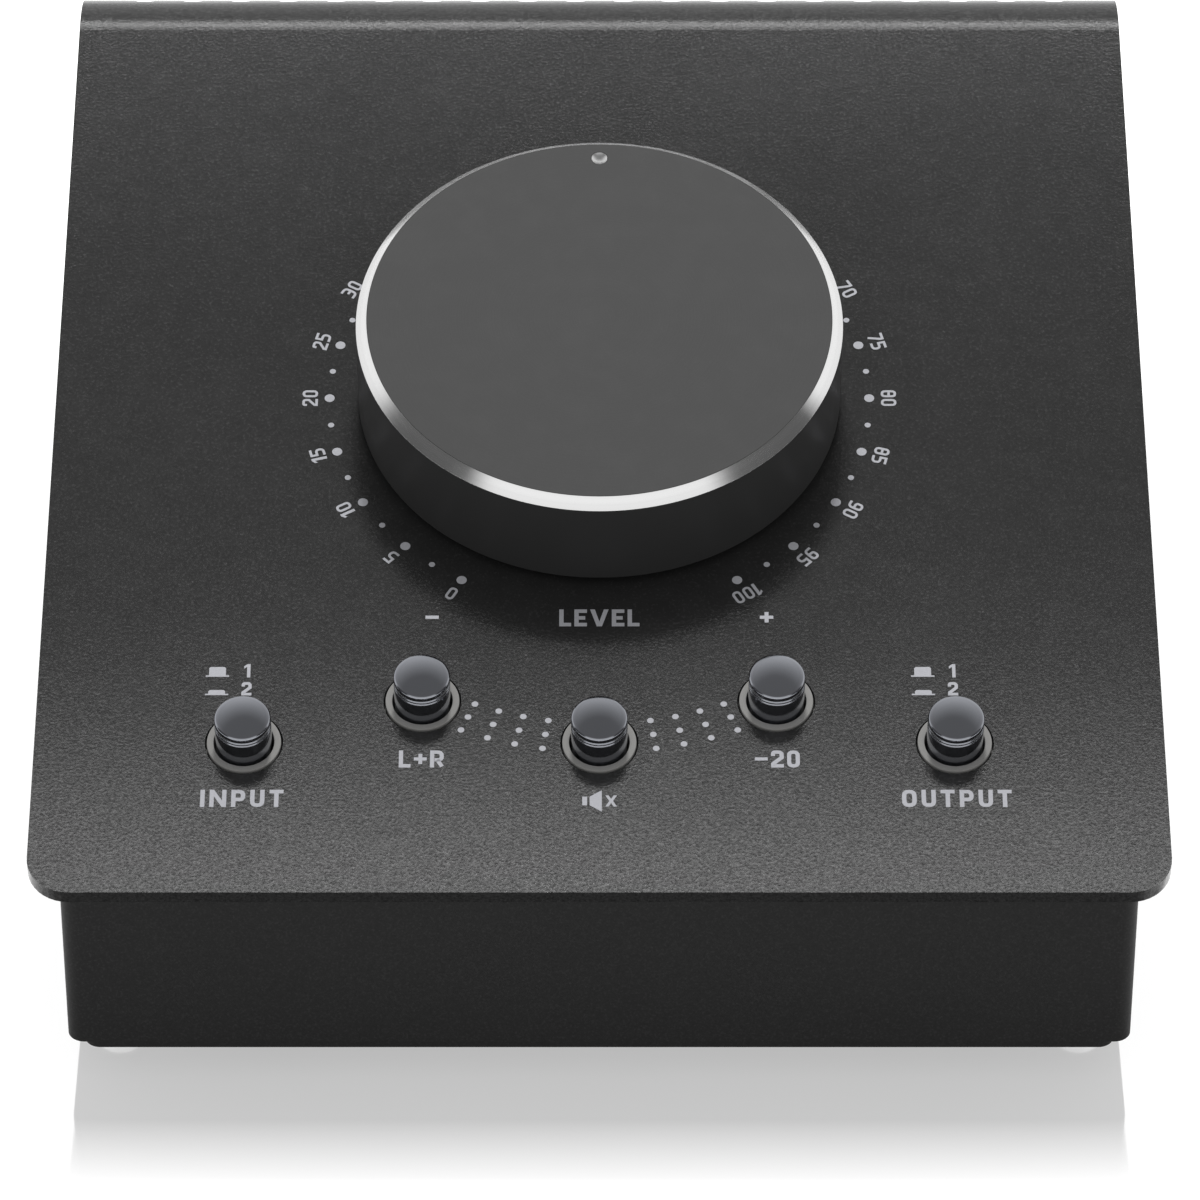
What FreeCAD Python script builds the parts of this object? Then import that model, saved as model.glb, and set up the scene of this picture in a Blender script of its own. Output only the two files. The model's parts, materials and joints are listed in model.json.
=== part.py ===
import FreeCAD, Part
import os
import re
import Sketcher
from FreeCAD import Placement, Rotation, Vector

# A desktop monitor controller: a bent sheet-metal cover with a sloping panel, one large
# volume knob and five push buttons, over a dark body with a base plate and rubber feet.
# Lengths are in millimetres, angles in degrees. +X is to the right, +Y to the back, +Z up.
# The origin is on the floor, in the middle of the footprint.

SIZES = {
    # Top cover: one sheet, flat and sloping, bent over at the back into the rear wall.
    "cover_width": 140.0,
    "cover_sheet": 2.0,
    "panel_slope": 13.3,
    "panel_front_z": 34.8,
    "panel_flat": 143.94,
    "panel_corner": 5.2,
    "bend_radius": 13.0,
    "dial_setback": 78.94,
    # Ventilation slots over the bend.
    "vent_width": 2.6,
    "vent_side_gap": 3.05,
    "vent_count": 20,
    "vent_start_angle": 36.6,
    "vent_drop": 6.0,
    # Body shell below the cover, its flanges and the small gap under the bend.
    "side_overhang": 3.7,
    "front_overhang": 4.0,
    "body_sheet": 1.5,
    "body_corner": 2.1,
    "flange_width": 8.0,
    "rear_lip": 2.0,
    "bend_ease": 0.3,
    # Base plate and feet.
    "base_sheet": 1.5,
    "base_side_inset": 2.0,
    "base_end_inset": 0.65,
    "base_corner": 2.0,
    "foot_height": 5.5,
    "foot_side": 14.0,
    "foot_rim": 0.5,
    "foot_rim_thick": 0.6,
    "foot_span": 85.0,
    "foot_setback": 12.8,
    # M3 fasteners.
    "screw_radius": 1.5,
    "screw_gap": 0.05,
    "screw_head_radius": 2.8,
    "screw_head_thick": 1.9,
    "screw_reach": 2.0,
    "nut_corner": 3.1,
    "nut_thick": 2.4,
    "stud_setback": 18.94,
    "stud_back_gap": 17.0,
    "base_screw_inset": 17.785,
    "rear_screw_rise": 8.0,
    "rear_screw_drop": 9.262,
    # Volume knob.
    "knob_radius": 31.0,
    "knob_gap": 1.5,
    "knob_top": 16.0,
    "knob_wall": 2.4,
    "knob_web": 2.5,
    "ring_width": 1.4,
    "ring_rise": 1.25,
    "ring_seat": 1.0,
    "ring_ledge": 0.7,
    "pointer_offset": 27.2,
    "pointer_radius": 1.03,
    "pointer_thick": 0.9,
    "pointer_dish": 0.35,
    "hub_radius": 5.5,
    "hub_bottom": 5.7,
    "boss_radius": 8.0,
    "boss_bottom": 4.2,
    "seat_gap": 0.04,
    # Potentiometer.
    "shaft_radius": 3.0,
    "shaft_gap": 0.05,
    "shaft_flat": 0.8,
    "pot_radius": 12.0,
    "pot_wall": 0.9,
    "pot_track_thick": 1.2,
    "pot_rotor_radius": 10.0,
    "pot_rotor_thick": 1.4,
    "pot_rotor_gap": 0.3,
    "bushing_radius": 4.5,
    "bushing_height": 5.0,
    "bushing_flange_radius": 6.5,
    "bushing_flange_thick": 0.8,
    "pot_washer_radius": 7.4,
    "pot_washer_thick": 0.6,
    "pot_nut_corner": 7.0,
    "pot_nut_thick": 2.4,
    # Main circuit board, parallel to the panel.
    "board_depth": 11.0,
    "board_thick": 1.6,
    "board_side_gap": 1.8,
    "board_setback": 11.94,
    "board_back_gap": 38.0,
    "spacer_radius": 3.0,
    "spacer_cap": 1.0,
    "spacer_inset": 5.0,
    "spacer_front_inset": 31.0,
    "spacer_back_inset": 7.0,
    "spacer_pot_gap": 18.0,
    "pin_radius": 0.4,
    "pin_reach": 1.2,
    # Push buttons: the outer ones' places from the inner flanges and from the panel's front edge.
    "button_side_gap": 12.8,
    "button_setback": 22.94,
    "button_stagger": 6.5,
    "button_radius": 3.5,
    "button_rim": 4.85,
    "button_top": 5.6,
    "button_shoulder": 0.35,
    "button_travel": 2.5,
    "button_stop_gap": 0.3,
    "collar_radius": 4.6,
    "collar_gap": 0.25,
    "collar_bore": 3.75,
    "collar_lip_bore": 3.95,
    "collar_lip": 0.3,
    "collar_height": 0.25,
    "collar_flange_radius": 6.0,
    "collar_flange_thick": 2.0,
    # Push switches under the buttons.
    "switch_side": 9.0,
    "switch_floor": 0.6,
    "switch_lid": 0.8,
    "switch_bore": 3.2,
    "stem_radius": 1.5,
    "stem_gap": 0.06,
    "stem_socket": 3.6,
    "stem_flange_radius": 2.9,
    "stem_flange_thick": 0.8,
    "stem_flange_gap": 0.05,
    "stem_pin_radius": 0.9,
    "stem_pin_length": 1.8,
    "spring_radius": 2.2,
    "spring_wire": 0.3,
    "spring_turns": 5.0,
    "spring_gap": 0.02,
    # Jack sockets in the rear wall and the board behind them.
    "jack_reach": 3.5,
    "jack_depth": 26.0,
    "jack_width": 16.0,
    "jack_height": 12.5,
    "jack_back_wall": 0.8,
    "jack_bore": 3.25,
    "jack_bushing_radius": 4.5,
    "jack_hole_gap": 0.2,
    "jack_nut_corner": 6.6,
    "jack_nut_thick": 2.2,
    "jack_side_gap": 3.8,
    "jack_rise": 11.5,
    "jack_row_pitch": 19.5,
    "rear_board_side_gap": 0.8,
    "rear_board_rise": 3.5,
    "rear_board_over": 8.0,
    # Ribbon cable and the plugs that it ends in.
    "plug_width": 28.0,
    "plug_side": 6.0,
    "plug_height": 6.0,
    "plug_inset": 8.0,
    "plug_rise": 10.5,
    "ribbon_width": 25.0,
    "ribbon_thick": 0.9,
    "ribbon_bend": 6.0,
    # Resistors of the dim network on the main board.
    "resistor_radius": 1.2,
    "resistor_length": 6.5,
    "resistor_side": 28.0,
    "resistor_pitch": 6.0,
    # Cutters start and end this far outside what they cut.
    "cut_margin": 1.0,
}

# Lengths worked out from the sizes above, written as spreadsheet formulas.
DERIVED = {
    "cover_depth": "panel_flat * cos(panel_slope) + bend_radius * (1 + sin(panel_slope))",
    "front_y": "-(cover_depth + jack_reach) / 2",
    "rear_y": "front_y + cover_depth",
    "rear_inner_y": "rear_y - cover_sheet",
    "dial_y": "front_y + dial_setback * cos(panel_slope)",
    "dial_z": "panel_front_z + dial_setback * sin(panel_slope)",
    "bend_y": "rear_y - bend_radius",
    "bend_z": "panel_front_z + panel_flat * sin(panel_slope) - bend_radius * cos(panel_slope)",
    "bend_inner": "bend_radius - cover_sheet",
    "bend_start_y": "bend_y - bend_radius * sin(panel_slope)",
    "panel_back": "panel_flat - dial_setback",
    "vent_angle": "vent_start_angle + vent_width / 2 / bend_radius * 180 / pi - panel_slope",
    "vent_reach": "bend_radius + cut_margin",
    "vent_low_z": "bend_z - vent_drop",
    "vent_half_run": "room_half - vent_side_gap",
    "body_z": "foot_height + base_sheet",
    "body_half": "cover_width / 2 - side_overhang",
    "body_front": "front_y + front_overhang",
    "room_half": "body_half - body_sheet",
    "room_front": "body_front + body_sheet",
    "room_bottom": "body_z + body_sheet",
    "room_back": "rear_inner_y - body_sheet",
    "flange_centre": "room_half - flange_width / 2",
    "window_half": "room_half - flange_width",
    "stud_front": "stud_setback - dial_setback",
    "stud_back": "panel_back - stud_back_gap",
    "base_screw_y": "-front_y - base_screw_inset",
    "rear_screw_low": "body_z + rear_screw_rise",
    "rear_screw_high": "vent_low_z - rear_screw_drop",
    "foot_y_front": "body_front + base_end_inset + foot_setback + foot_side / 2",
    "foot_y_rear": "rear_y - base_end_inset - foot_setback - foot_side / 2",
    "side_top": "knob_top - ring_rise",
    "disc_radius": "knob_radius - ring_width",
    "disc_floor": "side_top - ring_seat",
    "web_floor": "disc_floor - knob_web",
    "board_half": "window_half - board_side_gap",
    "board_front": "board_setback - dial_setback",
    "board_back": "panel_back - board_back_gap",
    "spacer_side": "board_half - spacer_inset",
    "outer_button_side": "window_half - button_side_gap",
    "outer_button_front": "button_setback - dial_setback",
    "inner_button_side": "outer_button_side / 2",
    "inner_button_front": "outer_button_front + button_stagger",
    "pot_track_top": "pot_track_thick - board_depth",
    "switch_top": "-(cover_sheet + collar_flange_thick)",
    "button_foot": "switch_top + button_travel + button_stop_gap",
    "stem_flange_top": "switch_top - switch_lid - stem_flange_gap",
    "stem_flange_low": "stem_flange_top - stem_flange_thick",
    "switch_room_low": "switch_floor - board_depth",
    "spring_start": "switch_room_low + spring_wire / 2 + spring_gap",
    "spring_height": "stem_flange_low - spring_wire / 2 - spring_gap - spring_start",
    "jack_pitch": "(window_half - jack_width / 2 - jack_side_gap) / 1.5",
    "jack_low_z": "body_z + jack_rise",
    "jack_high_z": "jack_low_z + jack_row_pitch",
    "jack_back": "-(cover_sheet + jack_depth)",
    "plug_back": "board_back - plug_inset",
    "plug_low_z": "jack_low_z + plug_rise",
    "board_under": "-(board_depth + board_thick)",
    "ribbon_top": "board_under - plug_height",
    "ribbon_top_y": "dial_y + plug_back * cos(panel_slope) - ribbon_top * sin(panel_slope)",
    "ribbon_top_z": "dial_z + plug_back * sin(panel_slope) + ribbon_top * cos(panel_slope)",
    "ribbon_turn_y": "ribbon_top_y + (ribbon_top_z - plug_low_z) * tan(panel_slope)",
    "ribbon_end_y": "rear_y + jack_back - board_thick - plug_height",
    "ribbon_run": "ribbon_bend * tan(45 - panel_slope / 2)",
    "ribbon_half": "ribbon_thick / 2",
}

doc = FreeCAD.newDocument("monitor_controller")
sheet = doc.addObject("Spreadsheet::Sheet", "Sizes")
for row, (alias, number) in enumerate(SIZES.items(), 1):
    sheet.set(f"A{row}", alias)
    sheet.set(f"B{row}", str(number))
    sheet.setAlias(f"B{row}", alias)
doc.recompute()

parts = []


def formula(text):
    """The text as a FreeCAD expression: sizes come from the sheet, derived lengths are written out."""
    def written_out(word):
        if word.group() in SIZES:
            return f"Sizes.{word.group()}"
        if word.group() in DERIVED:
            return f"({formula(DERIVED[word.group()])})"
        return word.group()
    return re.sub(r"[a-z_]+", written_out, text)


def value(text):
    """The formula's number with the sheet's sizes."""
    return float(sheet.evalExpression(formula(text)))


def bind(thing, name, text):
    """Ties one property to a formula over the sizes."""
    thing.setExpression(name, formula(text))


def set_frame(thing, name, place, tilt):
    """Ties a Placement property to a place and to a turn about X."""
    turn = Rotation(Vector(1, 0, 0), value(tilt))
    setattr(thing, name, Placement(Vector(*(value(text) for text in place)), turn))
    for axis, text in zip("xyz", place):
        bind(thing, f".{name}.Base.{axis}", text)
    if value(tilt):
        bind(thing, f".{name}.Rotation.Angle", tilt)


def on_floor(x="0", y="0", z="0"):
    """A frame that stands on the floor."""
    return (x, y, z), "0"


def on_panel(across="0", along="0", out="0"):
    """A frame on the panel's top face: X across, Y up the slope, Z out of the panel."""
    y = f"dial_y + ({along}) * cos(panel_slope) - ({out}) * sin(panel_slope)"
    z = f"dial_z + ({along}) * sin(panel_slope) + ({out}) * cos(panel_slope)"
    return (across, y, z), "panel_slope"


def on_rear(x="0", z="0", out="0"):
    """A frame on the rear wall's outer face: X across, Y down, Z out of the wall, to the back."""
    return (x, f"rear_y + ({out})", z), "-90"


def new_body(label, frame=on_floor()):
    """An empty body for one sub-part."""
    body = doc.addObject("PartDesign::Body", label)
    body.Label = label
    body.AllowCompound = True
    set_frame(body, "Placement", *frame)
    parts.append(body)
    return body


def new_sketch(body, plane="XY_Plane", frame=on_floor()):
    """An empty sketch on one of the body's own origin planes, or in a frame over it."""
    sketch = body.newObject("Sketcher::SketchObject", f"{body.Label}_sketch")
    origin = body.Origin.OriginFeatures
    support = next(feature for feature in origin if feature.Role == plane)
    sketch.AttachmentSupport = (support, [""])
    sketch.MapMode = "FlatFace"
    set_frame(sketch, "AttachmentOffset", *frame)
    return sketch


def pin_point(sketch, geometry, vertex, x, y):
    """Places a point of the sketch by two formulas."""
    for kind, text in (("DistanceX", x), ("DistanceY", y)):
        constraint = Sketcher.Constraint(kind, -1, 1, geometry, vertex, value(text))
        index = sketch.addConstraint(constraint)
        bind(sketch, f"Constraints[{index}]", text)


def pin_radius(sketch, geometry, text):
    """Ties the radius of a circle or an arc to a formula."""
    index = sketch.addConstraint(Sketcher.Constraint("Radius", geometry, value(text)))
    bind(sketch, f"Constraints[{index}]", text)


def circle(x, y, radius):
    """A drawing step: one circle."""
    def draw(sketch):
        centre = Vector(value(x), value(y))
        index = sketch.addGeometry(Part.Circle(centre, Vector(0, 0, 1), value(radius)))
        pin_point(sketch, index, 3, x, y)
        pin_radius(sketch, index, radius)
    return draw


def arc_between(start, end, radius, side):
    """The short arc from start to end. Its centre is left of the way there if side is 1, right if -1."""
    middle = (start + end) / 2
    half = (end - start) / 2
    left = Vector(-half.y, half.x, 0).normalize()
    rise = (radius ** 2 - half.Length ** 2) ** 0.5
    centre = middle + left * side * rise
    crown = centre - left * side * radius
    return Part.Arc(start, crown, end)


def outline(*corners):
    """A drawing step: a closed outline. A corner is (x, y), or (x, y, radius, side) if an arc leads to it."""
    def draw(sketch):
        points = [Vector(value(corner[0]), value(corner[1])) for corner in corners]
        ends = []
        for number, corner in enumerate(corners):
            start = points[number - 1]
            end = points[number]
            if len(corner) == 2:
                index = sketch.addGeometry(Part.LineSegment(start, end))
                ends.append((index, 1, 2))
            else:
                radius, side = corner[2:]
                index = sketch.addGeometry(arc_between(start, end, value(radius), side))
                ends.append((index, 1, 2) if side == 1 else (index, 2, 1))
        for number, corner in enumerate(corners):
            index, first, last = ends[number]
            next_index, next_first, next_last = ends[(number + 1) % len(ends)]
            sketch.addConstraint(Sketcher.Constraint("Coincident", index, last, next_index, next_first))
            pin_point(sketch, index, last, corner[0], corner[1])
            if len(corner) == 4:
                pin_radius(sketch, index, corner[2])
    return draw


def rectangle(left, right, low, high):
    """A drawing step: an upright rectangle."""
    return outline((left, low), (right, low), (right, high), (left, high))


def block(x, y, width, height):
    """A drawing step: a rectangle about a centre."""
    return rectangle(f"{x} - {width} / 2", f"{x} + {width} / 2", f"{y} - {height} / 2", f"{y} + {height} / 2")


def hexagon(x, y, corner_radius):
    """A drawing step: a regular hexagon about a centre."""
    turns = range(0, 360, 60)
    return outline(*((f"{x} + {corner_radius} * cos({turn})", f"{y} + {corner_radius} * sin({turn})")
                     for turn in turns))


def add_layer(body, low, high, *drawing):
    """Adds what is drawn, as thick as from low to high along the body's Z."""
    sketch = new_sketch(body, frame=on_floor(z=low))
    for draw in drawing:
        draw(sketch)
    pad = body.newObject("PartDesign::Pad", f"{body.Label}_pad")
    pad.Profile = sketch
    bind(pad, "Length", f"{high} - ({low})")
    return pad


def cut_layer(body, frame, depth, *drawing):
    """Cuts what is drawn in a frame, from its plane down by the depth."""
    sketch = new_sketch(body, frame=frame)
    for draw in drawing:
        draw(sketch)
    pocket = body.newObject("PartDesign::Pocket", f"{body.Label}_pocket")
    pocket.Profile = sketch
    bind(pocket, "Length", depth)
    return pocket


def across(body, kind, width, *drawing, x="0"):
    """A pad or a pocket of what is drawn seen from the side, as wide as said, half each way from x."""
    sketch = new_sketch(body, "YZ_Plane", on_floor(z=x))
    for draw in drawing:
        draw(sketch)
    feature = body.newObject(f"PartDesign::{kind}", f"{body.Label}_{kind.lower()}")
    feature.Profile = sketch
    feature.SideType = "Symmetric"
    bind(feature, "Length", width)
    return feature


def turned(label, frame, *corners):
    """A turned sub-part: the corners are (radius, height) of its half section."""
    body = new_body(label, frame)
    sketch = new_sketch(body, "XZ_Plane")
    outline(*corners)(sketch)
    revolution = body.newObject("PartDesign::Revolution", f"{label}_revolution")
    revolution.Profile = sketch
    revolution.ReferenceAxis = (sketch, ["V_Axis"])
    return body


def stacked(label, frame, places, *layers):
    """Equal pieces at several places, each a stack of discs: (low, high, outer radius, bore radius or None)."""
    body = new_body(label, frame)
    for low, high, outer, bore in layers:
        drawing = [circle(x, y, outer) for x, y in places]
        if bore:
            drawing += [circle(x, y, bore) for x, y in places]
        add_layer(body, low, high, *drawing)
    return body


def fillet_edges(body, radius, wanted):
    """Rounds the edges of the body's last feature that the test wants."""
    doc.recompute()
    base = body.Tip
    names = [f"Edge{number}" for number, edge in enumerate(base.Shape.Edges, 1) if wanted(edge)]
    fillet = body.newObject("PartDesign::Fillet", f"{body.Label}_fillet")
    fillet.Base = (base, names)
    bind(fillet, "Radius", radius)


def is_straight_along(edge, direction):
    """Whether the edge is straight and lies along the direction."""
    if edge.Curve.TypeId != "Part::GeomLine":
        return False
    return abs(abs(edge.Curve.Direction.dot(direction)) - 1) < 1e-6


def mirrored_x(*places):
    """Each place and its mirror image across the middle."""
    return [(f"{sign}{x}", y) for sign in ("", "-") for x, y in places]


BUTTONS = {
    "source": ("-outer_button_side", "outer_button_front"),
    "mono": ("-inner_button_side", "inner_button_front"),
    "mute": ("0", "outer_button_front"),
    "dim": ("inner_button_side", "inner_button_front"),
    "monitor": ("outer_button_side", "outer_button_front"),
}
JACKS = {
    "source_a_left": ("-1.5 * jack_pitch", "jack_high_z"),
    "source_a_right": ("-1.5 * jack_pitch", "jack_low_z"),
    "source_b_left": ("-0.5 * jack_pitch", "jack_high_z"),
    "source_b_right": ("-0.5 * jack_pitch", "jack_low_z"),
    "monitor_a_left": ("0.5 * jack_pitch", "jack_high_z"),
    "monitor_a_right": ("0.5 * jack_pitch", "jack_low_z"),
    "monitor_b_left": ("1.5 * jack_pitch", "jack_high_z"),
    "monitor_b_right": ("1.5 * jack_pitch", "jack_low_z"),
}
# On the rear wall, Y counts down, so heights above the floor are negative there.
JACK_PLACES = [(x, f"-{z}") for x, z in JACKS.values()]
STUDS = mirrored_x(("flange_centre", "stud_front"), ("flange_centre", "(stud_front + stud_back) / 2"),
                   ("flange_centre", "stud_back"))
BASE_SCREWS = mirrored_x(("flange_centre", "-base_screw_y"), ("flange_centre", "0"),
                         ("flange_centre", "base_screw_y"))
REAR_SCREWS = mirrored_x(("flange_centre", "-(rear_screw_low)"), ("flange_centre", "-(rear_screw_high)"))
SPACERS = mirrored_x(("spacer_side", "board_front + spacer_front_inset"),
                     ("spacer_side", "board_back - spacer_back_inset"))
SPACERS.append(("0", "-(pot_radius + spacer_pot_gap)"))
SWITCH_PINS = [(f"{x} + {i} * switch_side / 4", f"{y} + {j} * switch_side / 4")
               for x, y in BUTTONS.values() for i in (-1, 0, 1) for j in (-1, 1)]
POT_PINS = [(f"{i} * pot_radius / 3", f"-{j} * pot_radius / 4") for i in (-1, 0, 1) for j in (2, 3)]
JACK_PINS = [(f"{x} + {i} * jack_width / 3", f"{y} + {j} * jack_height / 3")
             for x, y in JACK_PLACES for i, j in ((-1, 1), (1, 1), (0, -1))]


def top_cover():
    """The cover: a sloping panel that bends over into the rear wall, in one sheet."""
    body = new_body("top_cover")
    across(body, "Pad", "cover_width", outline(
        ("front_y", "panel_front_z"),
        ("bend_start_y", "bend_z + bend_radius * cos(panel_slope)"),
        ("rear_y", "bend_z", "bend_radius", -1),
        ("rear_y", "body_z"),
        ("rear_inner_y", "body_z"),
        ("rear_inner_y", "bend_z"),
        ("bend_y - bend_inner * sin(panel_slope)", "bend_z + bend_inner * cos(panel_slope)", "bend_inner", 1),
        ("front_y + cover_sheet * sin(panel_slope)", "panel_front_z - cover_sheet * cos(panel_slope)"),
    ))
    turn = Rotation(Vector(1, 0, 0), value("panel_slope"))
    normal = turn.multVec(Vector(0, 0, 1))
    fillet_edges(body, "panel_corner", lambda edge: is_straight_along(edge, normal))
    vents(body)
    holes = [circle(x, y, "collar_radius + collar_gap") for x, y in BUTTONS.values()]
    holes.append(circle("0", "0", "bushing_radius + collar_gap"))
    cut_layer(body, on_panel(out="cut_margin"), "cover_sheet + 2 * cut_margin", *holes)
    holes = [circle(x, y, "jack_bushing_radius + jack_hole_gap") for x, y in JACK_PLACES]
    holes += [circle(x, y, "screw_radius + screw_gap") for x, y in REAR_SCREWS]
    cut_layer(body, on_rear(out="cut_margin"), "cover_sheet + 2 * cut_margin", *holes)


def vents(body):
    """The row of slots that starts on the bend and runs down the rear wall, with rounded ends."""
    first = "-vent_half_run"
    slot = across(body, "Pocket", "vent_width", outline(
        ("bend_y", "bend_z"),
        ("bend_y + vent_reach * sin(vent_angle)", "bend_z + vent_reach * cos(vent_angle)"),
        ("rear_y + cut_margin", "bend_z + vent_reach * cos(vent_angle)"),
        ("rear_y + cut_margin", "vent_low_z"),
        ("bend_y", "vent_low_z"),
    ), x=first)
    top_y = "bend_y + vent_reach * sin(vent_angle)"
    top_z = "bend_z + vent_reach * cos(vent_angle)"
    depth = "cover_sheet + 2 * cut_margin"
    top_end = cut_layer(body, ((first, top_y, top_z), "-(vent_angle)"), depth,
                        circle("0", "0", "vent_width / 2"))
    low_end = cut_layer(body, on_rear(first, "vent_low_z", "cut_margin"), depth,
                        circle("0", "0", "vent_width / 2"))
    pattern = body.newObject("PartDesign::LinearPattern", "vent_row")
    pattern.Originals = [slot, top_end, low_end]
    x_axis = next(feature for feature in body.Origin.OriginFeatures if feature.Role == "X_Axis")
    pattern.Direction = (x_axis, [""])
    bind(pattern, "Length", "2 * vent_half_run")
    bind(pattern, "Occurrences", "vent_count")
    body.Tip = pattern


def body_shell():
    """The body: front and side walls with a rounded front, flanged inwards above, below and behind."""
    body = new_body("body_shell")
    under = "panel_front_z + ({y} - front_y) * tan(panel_slope) - ({drop}) / cos(panel_slope)"
    across(body, "Pad", "2 * body_half", outline(
        ("body_front", "body_z"),
        ("body_front", under.format(y="body_front", drop="cover_sheet")),
        ("bend_y - bend_inner * sin(panel_slope)", "bend_z + bend_inner * cos(panel_slope)"),
        ("rear_inner_y", "bend_z", "bend_inner + bend_ease", -1),
        ("rear_inner_y", "body_z"),
    ))
    front = value("body_front")
    fillet_edges(body, "body_corner", lambda edge: is_straight_along(edge, Vector(0, 0, 1))
                 and abs(edge.CenterOfMass.y - front) < 0.01)
    inner = "(bend_inner - body_sheet)"
    across(body, "Pocket", "2 * room_half", outline(
        ("room_front", "room_bottom"),
        ("room_front", under.format(y="room_front", drop="cover_sheet + body_sheet")),
        (f"bend_y - {inner} * sin(panel_slope)", f"bend_z + {inner} * cos(panel_slope)"),
        ("room_back", "bend_z", inner, -1),
        ("room_back", "room_bottom"),
    ))
    # The room under the vents is open, up to the side walls.
    across(body, "Pocket", "2 * room_half", rectangle(
        "bend_start_y", "rear_y", "vent_low_z - vent_width", "bend_z + bend_radius + cut_margin"))
    window_front = "flange_width - (dial_setback - front_overhang - body_sheet)"
    cut_layer(body, on_panel(), "cover_sheet + body_sheet + cut_margin",
              rectangle("-window_half", "window_half", window_front, "panel_back"))
    cut_layer(body, on_floor(z="room_bottom"), "body_sheet + cut_margin",
              rectangle("-window_half", "window_half", "room_front + flange_width", "room_back - flange_width"))
    cut_layer(body, on_rear(), "cover_sheet + body_sheet + cut_margin",
              rectangle("-window_half", "window_half", "-bend_z", "-(room_bottom + rear_lip)"))
    hole = "screw_radius + screw_gap"
    cut_layer(body, on_panel(), "cover_sheet + body_sheet + cut_margin", *(circle(x, y, hole) for x, y in STUDS))
    cut_layer(body, on_floor(z="room_bottom"), "body_sheet + cut_margin",
              *(circle(x, y, hole) for x, y in BASE_SCREWS))
    cut_layer(body, on_rear(), "cover_sheet + body_sheet + cut_margin",
              *(circle(x, y, hole) for x, y in REAR_SCREWS))


def base_and_feet():
    """The base plate, its screws and the four rubber feet glued under it."""
    body = new_body("base_plate")
    side = "body_half - base_side_inset"
    add_layer(body, "foot_height", "body_z", rectangle(
        f"-({side})", side, "body_front + base_end_inset", "rear_y - base_end_inset"))
    fillet_edges(body, "base_corner", lambda edge: is_straight_along(edge, Vector(0, 0, 1)))
    cut_layer(body, on_floor(z="body_z + cut_margin"), "base_sheet + 2 * cut_margin",
              *(circle(x, y, "screw_radius + screw_gap") for x, y in BASE_SCREWS))
    stacked("base_screws", on_floor(), BASE_SCREWS,
            ("foot_height - screw_head_thick", "foot_height", "screw_head_radius", None),
            ("foot_height", "room_bottom + screw_reach", "screw_radius", None))
    feet = new_body("rubber_feet")
    places = mirrored_x(("foot_span / 2", "foot_y_front"), ("foot_span / 2", "foot_y_rear"))
    rim = "(foot_side + 2 * foot_rim)"
    add_layer(feet, "0", "foot_height - foot_rim_thick", *(block(x, y, "foot_side", "foot_side") for x, y in places))
    add_layer(feet, "foot_height - foot_rim_thick", "foot_height", *(block(x, y, rim, rim) for x, y in places))


def cover_fasteners():
    """Studs under the panel with their nuts, and the screws of the rear wall."""
    flange_low = "-(cover_sheet + body_sheet)"
    stacked("cover_studs", on_panel(), STUDS,
            (f"{flange_low} - nut_thick - screw_reach / 2", "-cover_sheet", "screw_radius", None))
    nuts = new_body("cover_nuts", on_panel())
    bores = [circle(x, y, "screw_radius + screw_gap") for x, y in STUDS]
    add_layer(nuts, f"{flange_low} - nut_thick", flange_low,
              *(hexagon(x, y, "nut_corner") for x, y in STUDS), *bores)
    stacked("rear_screws", on_rear(), REAR_SCREWS,
            ("-(cover_sheet + body_sheet + screw_reach)", "0", "screw_radius", None),
            ("0", "screw_head_thick", "screw_head_radius", None))


def main_board():
    """The circuit board that hangs under the panel on spacers, with its screws."""
    body = new_body("main_board", on_panel())
    holes = [circle(x, y, "screw_radius + screw_gap") for x, y in SPACERS]
    holes += [circle(x, y, "pin_radius + screw_gap") for x, y in SWITCH_PINS + POT_PINS]
    add_layer(body, "board_under", "-board_depth",
              rectangle("-board_half", "board_half", "board_front", "board_back"), *holes)
    stacked("board_spacers", on_panel(), SPACERS,
            ("-board_depth", "-(cover_sheet + spacer_cap)", "spacer_radius", "screw_radius + screw_gap"),
            ("-(cover_sheet + spacer_cap)", "-cover_sheet", "spacer_radius", None))
    stacked("board_screws", on_panel(), SPACERS,
            ("board_under - screw_head_thick", "board_under", "screw_head_radius", None),
            ("board_under", "-(cover_sheet + spacer_cap) - screw_gap", "screw_radius", None))
    stacked("board_pins", on_panel(), SWITCH_PINS + POT_PINS,
            ("board_under - pin_reach", "-board_depth", "pin_radius", None))


def resistors():
    """Resistors of the dim network, lying on the main board."""
    body = new_body("dim_resistors", on_panel())
    rows = [f"{step} * resistor_pitch" for step in (-1, 0, 1)]
    drawing = [circle(y, "resistor_radius - board_depth", "resistor_radius") for y in rows]
    for side in ("-resistor_side", "resistor_side"):
        across(body, "Pad", "resistor_length", *drawing, x=side)


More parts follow.
